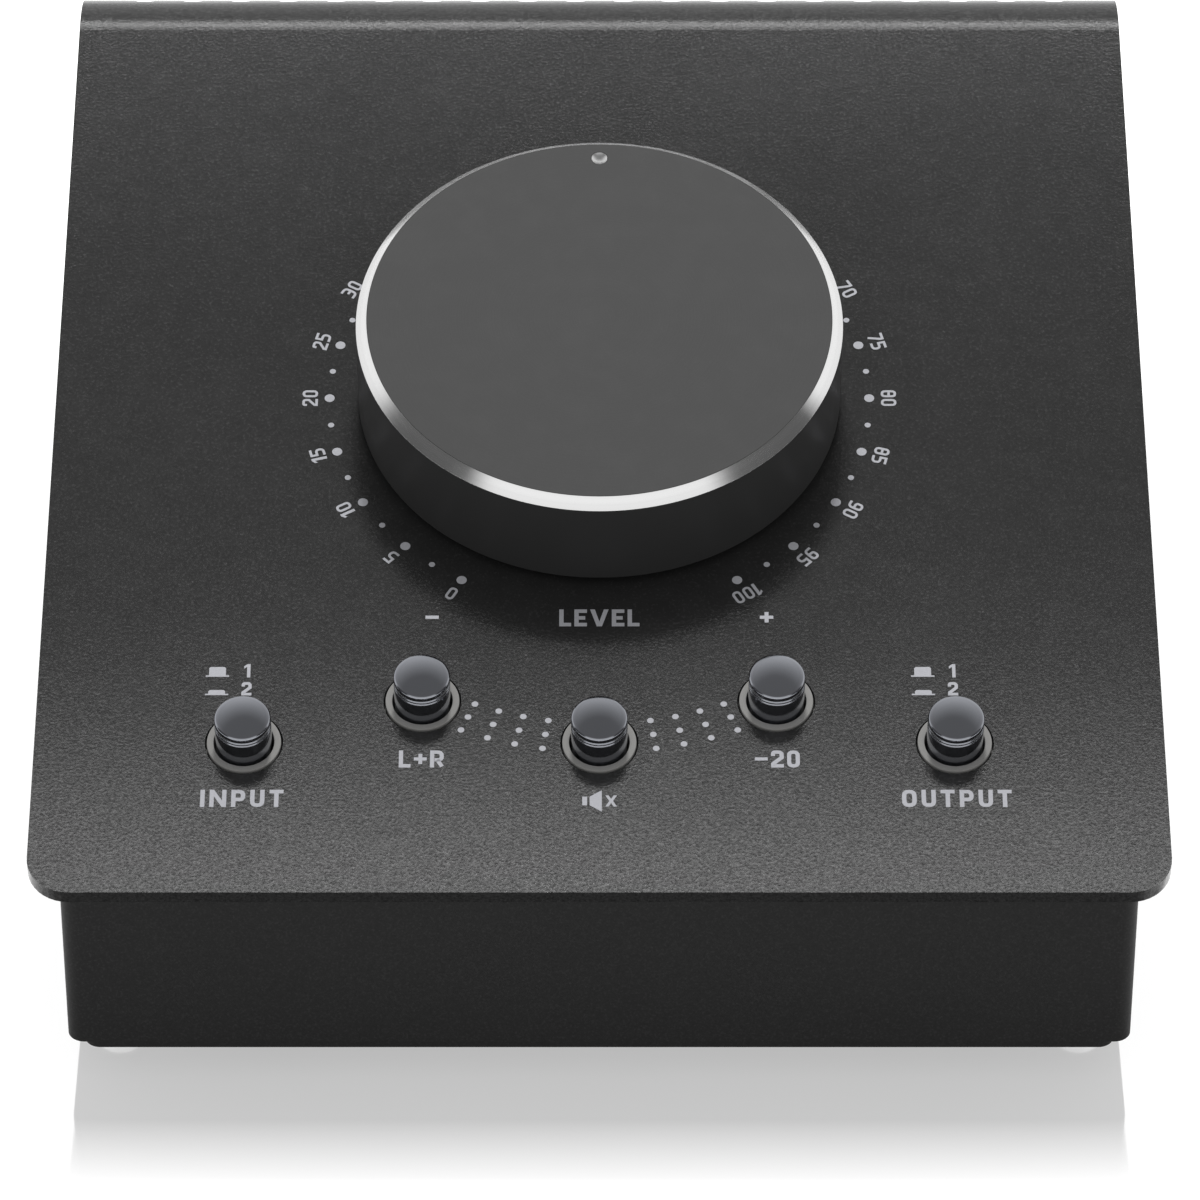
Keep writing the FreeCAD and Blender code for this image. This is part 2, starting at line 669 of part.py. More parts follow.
def potentiometer():
    """The volume potentiometer: can, track, bushing, washer and nut, and its turning shaft and wiper disc."""
    can_top = "-cover_sheet"
    lid = "-(cover_sheet + pot_wall)"
    room = "pot_radius - pot_wall"
    turned("pot_housing", on_panel(),
           (room, "-board_depth"), ("pot_radius", "-board_depth"), ("pot_radius", can_top),
           ("bushing_radius + seat_gap", can_top), ("bushing_radius + seat_gap", lid), (room, lid))
    turned("pot_track", on_panel(),
           ("0", "-board_depth"), (f"{room} - seat_gap", "-board_depth"),
           (f"{room} - seat_gap", "pot_track_top"), ("0", "pot_track_top"))
    flange_low = f"{lid} - bushing_flange_thick"
    bore = "shaft_radius + shaft_gap"
    turned("pot_bushing", on_panel(),
           (bore, flange_low), ("bushing_flange_radius", flange_low), ("bushing_flange_radius", lid),
           ("bushing_radius", lid), ("bushing_radius", "bushing_height"), (bore, "bushing_height"))
    stacked("pot_washer", on_panel(), [("0", "0")],
            ("0", "pot_washer_thick", "pot_washer_radius", "bushing_radius + screw_gap"))
    nut = new_body("pot_nut", on_panel())
    add_layer(nut, "pot_washer_thick", "pot_washer_thick + pot_nut_thick",
              hexagon("0", "0", "pot_nut_corner"), circle("0", "0", "bushing_radius + screw_gap"))
    rotor_low = "pot_track_top + pot_rotor_gap"
    stacked("pot_rotor", on_panel(), [("0", "0")],
            (rotor_low, f"{rotor_low} + pot_rotor_thick", "pot_rotor_radius", "shaft_radius + seat_gap"))
    shaft = stacked("pot_shaft", on_panel(), [("0", "0")],
                    (rotor_low, "web_floor - seat_gap", "shaft_radius", None))
    cut_layer(shaft, on_floor(z="web_floor"), "web_floor - bushing_height",
              rectangle("shaft_radius - shaft_flat", "2 * shaft_radius", "-2 * shaft_radius", "2 * shaft_radius"))


def d_bore(radius):
    """A drawing step: the round hole with one flat that the shaft fits."""
    flat = "(shaft_radius - shaft_flat + seat_gap)"
    half = f"sqrt(({radius}) ^ 2 - {flat} ^ 2)"
    return outline((flat, f"-{half}", radius, 1), (flat, half), (f"-({radius})", "0", radius, 1))


def knob():
    """The volume knob: a hollow black shell with a brass hub, a bevelled ring, a matt disc and a pointer."""
    ledge = "disc_radius + ring_ledge"
    inner = "knob_radius - knob_wall"
    turned("knob_shell", on_panel(),
           ("0", "disc_floor"), (ledge, "disc_floor"), (ledge, "side_top"), ("knob_radius", "side_top"),
           ("knob_radius", "knob_gap"), (inner, "knob_gap"), (inner, "web_floor"),
           ("boss_radius", "web_floor"), ("boss_radius", "boss_bottom"),
           ("hub_radius + seat_gap", "boss_bottom"), ("hub_radius + seat_gap", "web_floor"), ("0", "web_floor"))
    hub = new_body("knob_hub", on_panel())
    add_layer(hub, "hub_bottom", "web_floor",
              circle("0", "0", "hub_radius"), d_bore("shaft_radius + seat_gap"))
    turned("knob_ring", on_panel(),
           ("disc_radius", "disc_floor"), (f"{ledge} - seat_gap", "disc_floor"),
           (f"{ledge} - seat_gap", "side_top"), ("knob_radius", "side_top"), ("disc_radius", "knob_top"))
    disc = stacked("knob_disc", on_panel(), [("0", "0")],
                   ("disc_floor", "knob_top", "disc_radius - seat_gap", None))
    cut_layer(disc, on_floor(z="knob_top"), "pointer_thick",
              circle("0", "pointer_offset", "pointer_radius + seat_gap"))
    dish = "(pointer_radius ^ 2 + pointer_dish ^ 2) / (2 * pointer_dish)"
    low = "knob_top - pointer_thick"
    turned("knob_pointer", on_panel(along="pointer_offset"),
           ("0", low), ("pointer_radius", low), ("pointer_radius", "knob_top"),
           ("0", "knob_top - pointer_dish", dish, -1))


def collars():
    """The five collars in the panel's holes. Their flanges lie between the panel and the switches."""
    places = list(BUTTONS.values())
    stacked("button_collars", on_panel(), places,
            ("switch_top", "-cover_sheet", "collar_flange_radius", "collar_bore"),
            ("-cover_sheet", "collar_height - collar_lip", "collar_radius", "collar_bore"),
            ("collar_height - collar_lip", "collar_height", "collar_radius", "collar_lip_bore"))


def push_switch(name, place):
    """One push switch with its housing, plunger, return spring and domed cap, in the out position."""
    frame = on_panel(*place)
    square = block("0", "0", "switch_side", "switch_side")
    housing = new_body(f"{name}_switch", frame)
    add_layer(housing, "-board_depth", "switch_room_low", square)
    add_layer(housing, "switch_room_low", "switch_top - switch_lid", square, circle("0", "0", "switch_bore"))
    add_layer(housing, "switch_top - switch_lid", "switch_top", square, circle("0", "0", "stem_radius + stem_gap"))
    pin_low = "stem_flange_low - stem_pin_length"
    socket_top = "button_foot + stem_socket"
    turned(f"{name}_plunger", frame,
           ("0", pin_low), ("stem_pin_radius", pin_low), ("stem_pin_radius", "stem_flange_low"),
           ("stem_flange_radius", "stem_flange_low"), ("stem_flange_radius", "stem_flange_top"),
           ("stem_radius", "stem_flange_top"), ("stem_radius", socket_top), ("0", socket_top))
    return_spring(f"{name}_spring", frame)
    crown = "(button_radius - button_shoulder)"
    dome_rise = "(button_top - button_rim - button_shoulder)"
    dome = f"({crown} ^ 2 + {dome_rise} ^ 2) / (2 * {dome_rise})"
    turned(f"{name}_cap", frame,
           ("stem_radius + seat_gap", "button_foot"), ("button_radius", "button_foot"),
           ("button_radius", "button_rim"), (crown, "button_rim + button_shoulder", "button_shoulder", 1),
           ("0", "button_top", dome, 1), ("0", socket_top), ("stem_radius + seat_gap", socket_top))


def return_spring(label, frame):
    """A wound wire spring between the switch's floor and the plunger's flange."""
    body = new_body(label, frame)
    sketch = new_sketch(body, "XZ_Plane")
    circle("spring_radius", "spring_start", "spring_wire / 2")(sketch)
    helix = body.newObject("PartDesign::AdditiveHelix", f"{label}_helix")
    helix.Profile = sketch
    helix.ReferenceAxis = (sketch, ["V_Axis"])
    helix.Mode = "height-turns-angle"
    bind(helix, "Height", "spring_height")
    bind(helix, "Turns", "spring_turns")


def jack_sockets():
    """The eight jack sockets in the rear wall, their nuts and pins, and the board behind them."""
    back = "jack_back"
    for name, (x, z) in JACKS.items():
        jack = new_body(f"jack_{name}", on_rear(x, z))
        square = block("0", "0", "jack_width", "jack_height")
        add_layer(jack, back, f"{back} + jack_back_wall", square)
        add_layer(jack, f"{back} + jack_back_wall", "-cover_sheet", square, circle("0", "0", "jack_bore"))
        add_layer(jack, "-cover_sheet", "jack_reach",
                  circle("0", "0", "jack_bushing_radius"), circle("0", "0", "jack_bore"))
    nuts = new_body("jack_nuts", on_rear())
    add_layer(nuts, "0", "jack_nut_thick",
              *(hexagon(x, y, "jack_nut_corner") for x, y in JACK_PLACES),
              *(circle(x, y, "jack_bushing_radius + screw_gap") for x, y in JACK_PLACES))
    board = new_body("rear_board", on_rear())
    side = "(window_half - rear_board_side_gap)"
    add_layer(board, f"{back} - board_thick", back,
              rectangle(f"-{side}", side, "-(jack_high_z + rear_board_over)", "-(body_z + rear_board_rise)"),
              *(circle(x, y, "pin_radius + screw_gap") for x, y in JACK_PINS))
    stacked("jack_pins", on_rear(), JACK_PINS,
            (f"{back} - board_thick - pin_reach", back, "pin_radius", None))


def ribbon():
    """The ribbon cable from the main board to the rear board, and the plug at each end."""
    main_plug = new_body("main_plug", on_panel())
    add_layer(main_plug, "ribbon_top", "board_under", block("0", "plug_back", "plug_width", "plug_side"))
    rear_plug = new_body("rear_plug", on_rear())
    low = "jack_back - board_thick"
    add_layer(rear_plug, f"{low} - plug_height", low, block("0", "-plug_low_z", "plug_width", "plug_side"))
    cable = new_body("ribbon_cable")

    def beside(y, z, side):
        """A point of the sloping run, half the cable's thickness to one side."""
        return (f"{y} + {side} * ribbon_half * cos(panel_slope)", f"{z} + {side} * ribbon_half * sin(panel_slope)")

    turn_y = "ribbon_turn_y - ribbon_run * sin(panel_slope)"
    turn_z = "plug_low_z + ribbon_run * cos(panel_slope)"
    flat_y = "ribbon_turn_y + ribbon_run"
    across(cable, "Pad", "ribbon_width", outline(
        beside("ribbon_top_y", "ribbon_top_z", -1),
        beside(turn_y, turn_z, -1),
        (flat_y, "plug_low_z - ribbon_half", "ribbon_bend + ribbon_half", 1),
        ("ribbon_end_y", "plug_low_z - ribbon_half"),
        ("ribbon_end_y", "plug_low_z + ribbon_half"),
        (flat_y, "plug_low_z + ribbon_half"),
        (*beside(turn_y, turn_z, 1), "ribbon_bend - ribbon_half", -1),
        beside("ribbon_top_y", "ribbon_top_z", 1),
    ))


def check_and_export():
    """Stops if anything failed or a cut removed nothing, then writes one STEP file for each sub-part."""
    doc.recompute()
    for thing in doc.Objects:
        if "Invalid" in thing.State or "Error" in thing.State:
            raise RuntimeError(f"{thing.Label} failed: {thing.State}")
        if thing.TypeId in ("PartDesign::Pocket", "PartDesign::LinearPattern"):
            if thing.Shape.Volume >= thing.BaseFeature.Shape.Volume:
                raise RuntimeError(f"{thing.Label} cuts nothing")
    for part in parts:
        if part.Shape.isNull() or not part.Shape.isValid():
            raise RuntimeError(f"{part.Label} has no valid shape")
    os.makedirs("parts", exist_ok=True)
    for part in parts:
        part.Shape.exportStep(f"parts/{part.Label}.step")


top_cover()
body_shell()
base_and_feet()
cover_fasteners()
main_board()
resistors()
potentiometer()
knob()
collars()
for button, spot in BUTTONS.items():
    push_switch(button, spot)
jack_sockets()
ribbon()
check_and_export()
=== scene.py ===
import json
from math import asin, cos, pi, radians, sin, tan

import bmesh
import bpy
from mathutils import Matrix, Vector


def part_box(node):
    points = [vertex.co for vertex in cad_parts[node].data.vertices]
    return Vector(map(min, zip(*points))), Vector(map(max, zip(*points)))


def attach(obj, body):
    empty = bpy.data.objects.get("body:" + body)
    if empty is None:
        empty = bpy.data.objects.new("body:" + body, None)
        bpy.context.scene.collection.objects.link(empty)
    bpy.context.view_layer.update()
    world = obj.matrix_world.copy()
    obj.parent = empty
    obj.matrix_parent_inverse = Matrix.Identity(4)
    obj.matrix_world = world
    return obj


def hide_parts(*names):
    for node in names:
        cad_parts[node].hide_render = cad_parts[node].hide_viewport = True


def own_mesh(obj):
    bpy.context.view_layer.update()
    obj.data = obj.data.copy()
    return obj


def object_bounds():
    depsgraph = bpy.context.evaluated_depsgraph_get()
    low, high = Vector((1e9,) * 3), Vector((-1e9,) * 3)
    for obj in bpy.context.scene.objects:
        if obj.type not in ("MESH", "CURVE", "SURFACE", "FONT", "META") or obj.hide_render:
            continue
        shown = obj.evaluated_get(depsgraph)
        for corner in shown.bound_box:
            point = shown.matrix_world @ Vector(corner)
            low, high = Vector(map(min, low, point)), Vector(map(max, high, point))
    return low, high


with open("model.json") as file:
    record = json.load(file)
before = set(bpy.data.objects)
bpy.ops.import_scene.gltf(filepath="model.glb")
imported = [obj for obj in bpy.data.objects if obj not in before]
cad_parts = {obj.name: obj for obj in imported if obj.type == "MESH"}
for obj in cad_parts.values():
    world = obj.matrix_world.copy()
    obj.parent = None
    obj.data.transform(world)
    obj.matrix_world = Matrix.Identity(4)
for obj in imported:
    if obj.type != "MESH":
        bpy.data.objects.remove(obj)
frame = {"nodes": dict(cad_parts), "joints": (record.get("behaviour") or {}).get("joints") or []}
cad_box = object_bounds()

# A desktop monitor controller: sloping sheet-metal panel, one large volume knob, five push buttons.
# Lengths are in metres, written as a number of millimetres times MM. +Z is up, the front faces -Y.
MM = 0.001

# The panel's frame: its origin is the dial's centre on the painted face, Y runs up the slope.
KNOB_JOINT = next(joint for joint in frame["joints"] if joint["name"] == "knob_turn")
DIAL = Vector(KNOB_JOINT["pos_m"])
NORMAL = Vector(KNOB_JOINT["axis"])
SLOPE = asin(-NORMAL.y)
ON_PANEL = Matrix.Translation(DIAL) @ Matrix.Rotation(SLOPE, 4, "X")
COVER_LOW, COVER_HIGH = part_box("top_cover")

# How near two places are that count as one, and how straight a face has to look to stay even.
MEET = 0.0005 * MM
INK_MEET = 0.002 * MM
NEAR = 0.001 * MM
SAME_LEVEL = 0.01 * MM
STRAIGHT = cos(radians(0.8))
SMOOTH_MARGIN = 5

# Sheet-metal cover.
SHEET = 2.0 * MM
BEND_RADIUS = 13.0 * MM
BEND_STEP = radians(2.5)
BEND_CENTRE = Vector((0, COVER_HIGH.y - BEND_RADIUS, COVER_HIGH.z - BEND_RADIUS))
PANEL_CORNER = 5.2 * MM
VENT_COUNT = 20
VENT_WIDTH = 2.6 * MM
VENT_TOP_ANGLE = radians(23.3)
VENT_DROP = 7.3 * MM
VENT_SIDE = 8.25 * MM
HOLE_REACH = 4 * SHEET
BUTTON_HOLE = 4.85 * MM
BUSHING_HOLE = 4.75 * MM
JACK_HOLE = 4.7 * MM
SCREW_HOLE = 1.55 * MM

# Volume knob: heights over the panel and radii.
KNOB_RADIUS = 31.0 * MM
KNOB_WALL = 2.4 * MM
KNOB_GAP = 1.5 * MM
KNOB_TOP = 16.0 * MM
KNOB_STEPS = 192
SIDE_TOP = 14.75 * MM
DISC_FLOOR = 13.75 * MM
WEB_FLOOR = 11.25 * MM
DISC_RADIUS = 29.6 * MM
RING_LEDGE = 30.3 * MM
POINTER_PLACE = 27.2 * MM
POINTER_RADIUS = 1.03 * MM
POINTER_FLOOR = 15.1 * MM
POINTER_DISH = 0.35 * MM
POINTER_STEPS = 40
BOSS_RADIUS = 8.0 * MM
BOSS_BOTTOM = 4.2 * MM
HUB_HOLE = 5.54 * MM
SEAT_GAP = 0.04 * MM

# Push buttons and their collars.
BUTTONS = ("source", "mono", "mute", "dim", "monitor")
BUTTON_STEPS = 96
CAP_RADIUS = 3.5 * MM
CAP_FOOT = -1.2 * MM
CAP_RIM = 4.85 * MM
CAP_TOP = 5.6 * MM
CAP_SHOULDER = 0.35 * MM
SOCKET_RADIUS = 1.54 * MM
SOCKET_TOP = 2.4 * MM
GROOVE_HEIGHTS = (4.25 * MM, 3.75 * MM)
GROOVE_DEPTH = 0.12 * MM
COLLAR_RADIUS = 4.6 * MM
COLLAR_HEIGHT = 0.25 * MM
COLLAR_BORE = 3.75 * MM
COLLAR_FLANGE = 6.0 * MM

# Rear sockets, nuts, screws and feet.
JACK_NAMES = [f"{group}_{side}" for group in ("source_a", "source_b", "monitor_a", "monitor_b")
              for side in ("left", "right")]
FACING_BACK = Matrix.Rotation(-pi / 2, 4, "X")
FACING_DOWN = Matrix.Rotation(pi, 4, "X")
JACK_REACH = 3.5 * MM
JACK_BORE = 3.25 * MM
JACK_MOUTH = 0.45 * MM
BUSHING_RADIUS = 4.5 * MM
BUSHING_CHAMFER = 0.3 * MM
THREAD_PITCH = 0.75 * MM
THREAD_DEPTH = 0.3 * MM
THREAD_CREST = 0.15
JACK_BOX = Vector((16.0, 26.0, 12.5)) * MM
JACK_BACK_WALL = 0.8 * MM
NUT_CORNER = 6.6 * MM
NUT_BLANK = 1.1 * NUT_CORNER
NUT_THICK = 2.2 * MM
NUT_CLEARANCE = 0.05 * MM
NUT_CONE = tan(radians(30))
SCREW_HEAD_RADIUS = 2.8 * MM
SCREW_HEAD = 1.9 * MM
SCREW_DOME_CENTRE = 2.2 * MM
SCREW_DOME_START = 48
SCREW_SOCKET = 1.15 * MM
SCREW_SOCKET_DEPTH = 1.0 * MM
SCREW_RADIUS = 1.5 * MM
SCREW_LENGTH = 5.5 * MM
FOOT_SIDE = 14.0 * MM
FOOT_RIM = 0.5 * MM
FOOT_RIM_THICK = 0.6 * MM
FOOT_HOLLOW_INSET = 1.6 * MM
FOOT_HOLLOW = 0.5 * MM

# Prints on the panel.
INK_THICK = 0.02 * MM
INK_SINK = 0.004 * MM
DOT_RING = 34.75 * MM
MAJOR_DOT = 0.65 * MM
MINOR_DOT = 0.4 * MM
DOT_SIDES = 24
DOT_WALL = 0.7
DOT_CROWN = 0.97
NUMBER_RING = 37.25 * MM
NUMBER_STEP = 5
DIAL_SWEEP = radians(300)
DIAL_STEPS = 20
LINK_DOT = 0.42 * MM
LINK_CENTRE = -12.8 * MM
LINK_ROWS = (40.2 * MM, 42.4 * MM, 44.6 * MM)
LINK_COUNT = 4
LINK_START = radians(9.07)
LINK_STEP = radians(4.52)

# Legends: a pen is a height and a stroke. Rows and sides count from the dial or from their button.
NUMBER_PEN = (2.0 * MM, 0.33 * MM)
NUMBER_GAP = 0.3 * MM
LEVEL_PEN = (2.7 * MM, 0.55 * MM)
LEVEL_ROW = -36.2 * MM
ENDS_PEN = (2.8 * MM, 0.5 * MM)
ENDS_SIDE = 21.0 * MM
ENDS_ROW = -36.1 * MM
INNER_PEN = (2.65 * MM, 0.52 * MM)
INNER_ROW = -9.0 * MM
OUTER_PEN = (2.65 * MM, 0.55 * MM)
OUTER_ROW = -8.6 * MM
OUTER_GAP = 0.6 * MM
LETTER_GAP = 0.4 * MM
CROSS_PEN = (1.7 * MM, 0.4 * MM)
CROSS_SIDE = 1.45 * MM
FIGURE_PEN = (2.1 * MM, 0.42 * MM)
FIGURE_SIDE = 0.05 * MM
FIGURE_ROWS = (11.35 * MM, 8.5 * MM)
SIGN_SIDE = -3.65 * MM
SIGN_OUT = (1.55 * MM, 10.4 * MM)
SIGN_IN = (0.8 * MM, 7.5 * MM)
CORNER_REACH = 0.3
CORNER_STEPS = 4

# Studio: the camera, the key lamp, the even light and the sheen cards, then a white room with a dim
# ceiling and one dark flag at each side. A flag's place is its angle from the front.
CAMERA_PLACE = (0.00008, -0.72692, 0.58558)
CAMERA_TILT = radians(52)
CAMERA_LENS = 209.2
CAMERA_SENSOR = 36.0
KEY_LEVEL = 105.0
STUDIO_AMBIENT = 0.45
SHEEN_LEVEL = 7.2
BEND_LEVEL = 11.5
ROOM_LEVEL = 1.0
CEILING_LEVEL = 0.25
CEILING_START = 0.62
CEILING_END = 0.93
FLAG_LEVEL = 0.12
FLAG_MIDDLE = radians(72)
FLAG_HALF = radians(24)
FLAG_EDGE = radians(5)
FLOOR_SIZE = 8
FLOOR_GREY = (0.8, 0.8, 0.8, 1)
FLOOR_LIFT = 0.88
MIRROR_SHARE = 0.48
MIRROR_FULL = 2.7 * MM
MIRROR_END = 18.2 * MM
MIRROR_ROUGHNESS = 0.05


# ---------------------------------------------------------------- modelling steps

def pick(piece):
    """Makes the piece the only one selected."""
    bpy.ops.object.select_all(action="DESELECT")
    piece.select_set(True)
    bpy.context.view_layer.objects.active = piece


def to_edit(piece):
    """Picks the piece and opens it."""
    pick(piece)
    bpy.ops.object.mode_set(mode="EDIT")


def to_object():
    """Closes the piece that is open."""
    bpy.ops.object.mode_set(mode="OBJECT")


def new_piece(name, add_primitive, **settings):
    """A plain body to start a piece from."""
    bpy.ops.object.select_all(action="DESELECT")
    add_primitive(**settings)
    piece = bpy.context.object
    piece.name = name
    piece.data.name = name
    return piece


def select_all():
    """Selects all of the open piece."""
    bpy.ops.mesh.select_all(action="SELECT")


def merge_points(within=MEET):
    """Merges what meets in the open piece."""
    select_all()
    bpy.ops.mesh.remove_doubles(threshold=within)


def turn_outwards():
    """Turns the faces of the open piece outwards."""
    select_all()
    bpy.ops.mesh.normals_make_consistent(inside=False)


def extrude(step):
    """Draws the selection out by a step."""
    bpy.ops.mesh.extrude_region_move(TRANSFORM_OT_translate={"value": step})


def draw_line(name, points):
    """A chain of edges through the points, left open in edit mode."""
    places = [Vector(point) for point in points]
    piece = new_piece(name, bpy.ops.mesh.primitive_plane_add, size=1 * MM)
    to_edit(piece)
    bpy.ops.mesh.select_mode(type="VERT")
    select_all()
    bpy.ops.mesh.merge(type="CENTER")
    bpy.ops.transform.translate(value=places[0])
    for here, there in zip(places, places[1:]):
        bpy.ops.mesh.extrude_vertices_move(TRANSFORM_OT_translate={"value": there - here})
    return piece


def lathe(name, outline, steps):
    """A turned piece: the outline's (radius, height) points spun once round Z."""
    piece = draw_line(name, [(radius, 0, height) for radius, height in outline])
    select_all()
    bpy.ops.mesh.spin(steps=steps, angle=2 * pi, center=(0, 0, 0), axis=(0, 0, 1))
    merge_points()
    turn_outwards()
    to_object()
    return piece


def arc(centre, radius, start, end, steps):
    """Points of an arc in a (radius, height) outline, from angle to angle in degrees."""
    turns = [radians(start + (end - start) * step / steps) for step in range(steps + 1)]
    return [(centre[0] + radius * cos(turn), centre[1] + radius * sin(turn)) for turn in turns]


def apply_modifier(piece, kind, **settings):
    """Adds one modifier with its settings and applies it."""
    pick(piece)
    modifier = piece.modifiers.new(kind.lower(), kind)
    for key, setting in settings.items():
        setattr(modifier, key, setting)
    bpy.ops.object.modifier_apply(modifier=modifier.name)


def remove(*pieces):
    """Takes away pieces that were only cut with or copied."""
    for piece in pieces:
        bpy.data.objects.remove(piece, do_unlink=True)


def cut(piece, cutter, operation="DIFFERENCE"):
    """Cuts the cutter out of the piece, or keeps what they share."""
    apply_modifier(piece, "BOOLEAN", operation=operation, solver="EXACT", object=cutter, use_self=True)
    remove(cutter)


def soften(piece, width, segments=2, angle=35, flat=()):
    """Rounds the sharp edges and shades smooth between them. Faces along a flat direction stay even."""
    apply_modifier(piece, "BEVEL", width=width, segments=segments, limit_method="ANGLE",
                   angle_limit=radians(angle), miter_outer="MITER_ARC")
    bpy.ops.object.shade_smooth_by_angle(angle=radians(angle + SMOOTH_MARGIN))
    for face in piece.data.polygons:
        if any(abs(face.normal.dot(direction)) > STRAIGHT for direction in flat):
            face.use_smooth = False
    apply_modifier(piece, "WEIGHTED_NORMAL", keep_sharp=True, weight=80)


def place(piece, matrix):
    """Sets the piece down: its place goes into the mesh and the object stays at the origin."""
    piece.data.transform(matrix)
    piece.data.update()


def copy_of(piece, name):
    """A copy with a mesh of its own."""
    twin = piece.copy()
    twin.data = piece.data.copy()
    twin.name = name
    twin.data.name = name
    bpy.context.scene.collection.objects.link(twin)
    return twin


def join(pieces, name):
    """Several pieces made one."""
    pick(pieces[0])
    for piece in pieces:
        piece.select_set(True)
    if len(pieces) > 1:
        bpy.ops.object.join()
    pieces[0].name = name
    pieces[0].data.name = name
    return pieces[0]


def rod(name, radius, length, spot, turn=0, sides=48):
    """A round cutter or blank, turned about X."""
    piece = new_piece(name, bpy.ops.mesh.primitive_cylinder_add, vertices=sides, radius=radius, depth=length)
    place(piece, Matrix.LocRotScale(Vector(spot), Matrix.Rotation(turn, 3, "X"), None))
    return piece


def block(name, size, middle):
    """A square block about the Z axis, with its middle at a height."""
    piece = new_piece(name, bpy.ops.mesh.primitive_cube_add, size=1)
    place(piece, Matrix.LocRotScale(Vector((0, 0, middle)), None, Vector(size)))
    return piece


def dress(piece, finish):
    """Gives the piece one finish and the record's slot for it."""
    piece.data.materials.clear()
    piece.data.materials.append(FINISHES[finish])


def seat(piece, body, nodes):
    """Ties the piece to its body and hides the plain nodes that it stands for."""
    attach(piece, body)
    if nodes:
        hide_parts(*nodes)


def set_down(model, name, matrix, body, nodes):
    """A copy of a model, put in its place and tied to its body."""
    piece = copy_of(model, name)
    place(piece, matrix)
    seat(piece, body, nodes)


# ---------------------------------------------------------------- shader nodes

# The Mix node's colour sockets.
MIX_LOW = 6
MIX_HIGH = 7
MIX_OUT = 2


def set_inputs(node, inputs):
    """Sets a node's constants and links by input name or number."""
    for key, source in inputs.items():
        if isinstance(source, bpy.types.NodeSocket):
            node.id_data.links.new(source, node.inputs[key])
        else:
            node.inputs[key].default_value = source


def add_node(tree, kind, inputs, **settings):
    """The outputs of one new node with its settings and inputs."""
    node = tree.nodes.new(f"ShaderNode{kind}")
    for key, setting in settings.items():
        setattr(node, key, setting)
    set_inputs(node, inputs)
    return node.outputs


def calculate(tree, operation, *values, **settings):
    """What one calculation gives."""
    return add_node(tree, "Math", dict(enumerate(values)), operation=operation, **settings)[0]


def remap(tree, value, low, high, to_low=0.0, to_high=1.0):
    """A value from low to high as a share, or as a value between two new bounds."""
    return add_node(tree, "MapRange", {
        "Value": value, "From Min": low, "From Max": high, "To Min": to_low, "To Max": to_high})[0]


def noise(tree, where, scale, detail, **more):
    """Soft noise over the surface."""
    return add_node(tree, "TexNoise", {"Vector": where, "Scale": scale, "Detail": detail, **more})[0]


def split(tree, vector):
    """A vector's three parts."""
    return add_node(tree, "SeparateXYZ", {0: vector})


def blend(tree, mask, low, high):
    """A colour that goes from low to high with the mask."""
    return add_node(tree, "Mix", {0: mask, MIX_LOW: low, MIX_HIGH: high}, data_type="RGBA")[MIX_OUT]


def shared_effect(name, setting, build):
    """A node group with a vector and one setting, which puts out what the build step names."""
    group = bpy.data.node_groups.new(name, "ShaderNodeTree")
    for label, kind in (("Vector", "Vector"), (setting, "Float")):
        group.interface.new_socket(label, in_out="INPUT", socket_type=f"NodeSocket{kind}")
    entry = group.nodes.new("NodeGroupInput").outputs
    made = build(group, entry["Vector"], entry[setting])
    for label in made:
        group.interface.new_socket(label, in_out="OUTPUT", socket_type="NodeSocketFloat")
    set_inputs(group.nodes.new("NodeGroupOutput"), made)
    return group


def powder_grain(tree, where, size):
    """Powder-coat grain: soft pebbles with finer grit between them, and sparse light flecks."""
    density = calculate(tree, "DIVIDE", 1 / MM, size)
    pebbles = noise(tree, where, scale=density, detail=2.0, Roughness=0.55)
    grit = noise(tree, where, scale=calculate(tree, "MULTIPLY", density, 2.6), detail=1.0)
    return {"Height": calculate(tree, "ADD", pebbles, calculate(tree, "MULTIPLY", grit, 0.35)),
            "Fleck": remap(tree, pebbles, low=0.56, high=0.72),
            "Mottle": noise(tree, where, scale=18.0, detail=3.0)}


def handling_marks(tree, where, amount):
    """Handling: faint smears and hairlines that change how a surface shines."""
    smear = remap(tree, noise(tree, where, scale=45.0, detail=4.0, Distortion=0.6), low=0.35, high=0.7)
    return {"Shine Change": calculate(tree, "MULTIPLY", calculate(tree, "SUBTRACT", smear, 0.5), amount),
            "Smear": smear}


def dust_film(tree, where, amount):
    """Dust: a thin uneven film on faces that look up."""
    upward = remap(tree, split(tree, add_node(tree, "NewGeometry", {})["Normal"])["Z"], low=0.5, high=1.0)
    patch = remap(tree, noise(tree, where, scale=260.0, detail=5.0), low=0.45, high=0.75)
    return {"Mask": calculate(tree, "MULTIPLY", calculate(tree, "MULTIPLY", upward, patch), amount)}


def turning_rings(tree, where, pitch):
    """Turning marks: fine rings about the Z axis of the given vector, as a lathe leaves them."""
    parts = split(tree, where)
    flat = add_node(tree, "CombineXYZ", {"X": parts["X"], "Y": parts["Y"]})[0]
    radius = add_node(tree, "VectorMath", {0: flat}, operation="LENGTH")["Value"]
    along = calculate(tree, "ADD", radius, parts["Z"])
    count = calculate(tree, "MULTIPLY", along, calculate(tree, "DIVIDE", 1 / MM, pitch))
    lines = add_node(tree, "TexNoise", {"W": count, "Scale": 1.0, "Detail": 2.0}, noise_dimensions="1D")[0]
    return {"Height": lines, "Line": remap(tree, lines, low=0.3, high=0.7)}


GRAIN = shared_effect("powder_grain", "Size", powder_grain)
HANDLING = shared_effect("handling", "Amount", handling_marks)
DUST = shared_effect("dust", "Amount", dust_film)
TURNING = shared_effect("turning_marks", "Pitch", turning_rings)


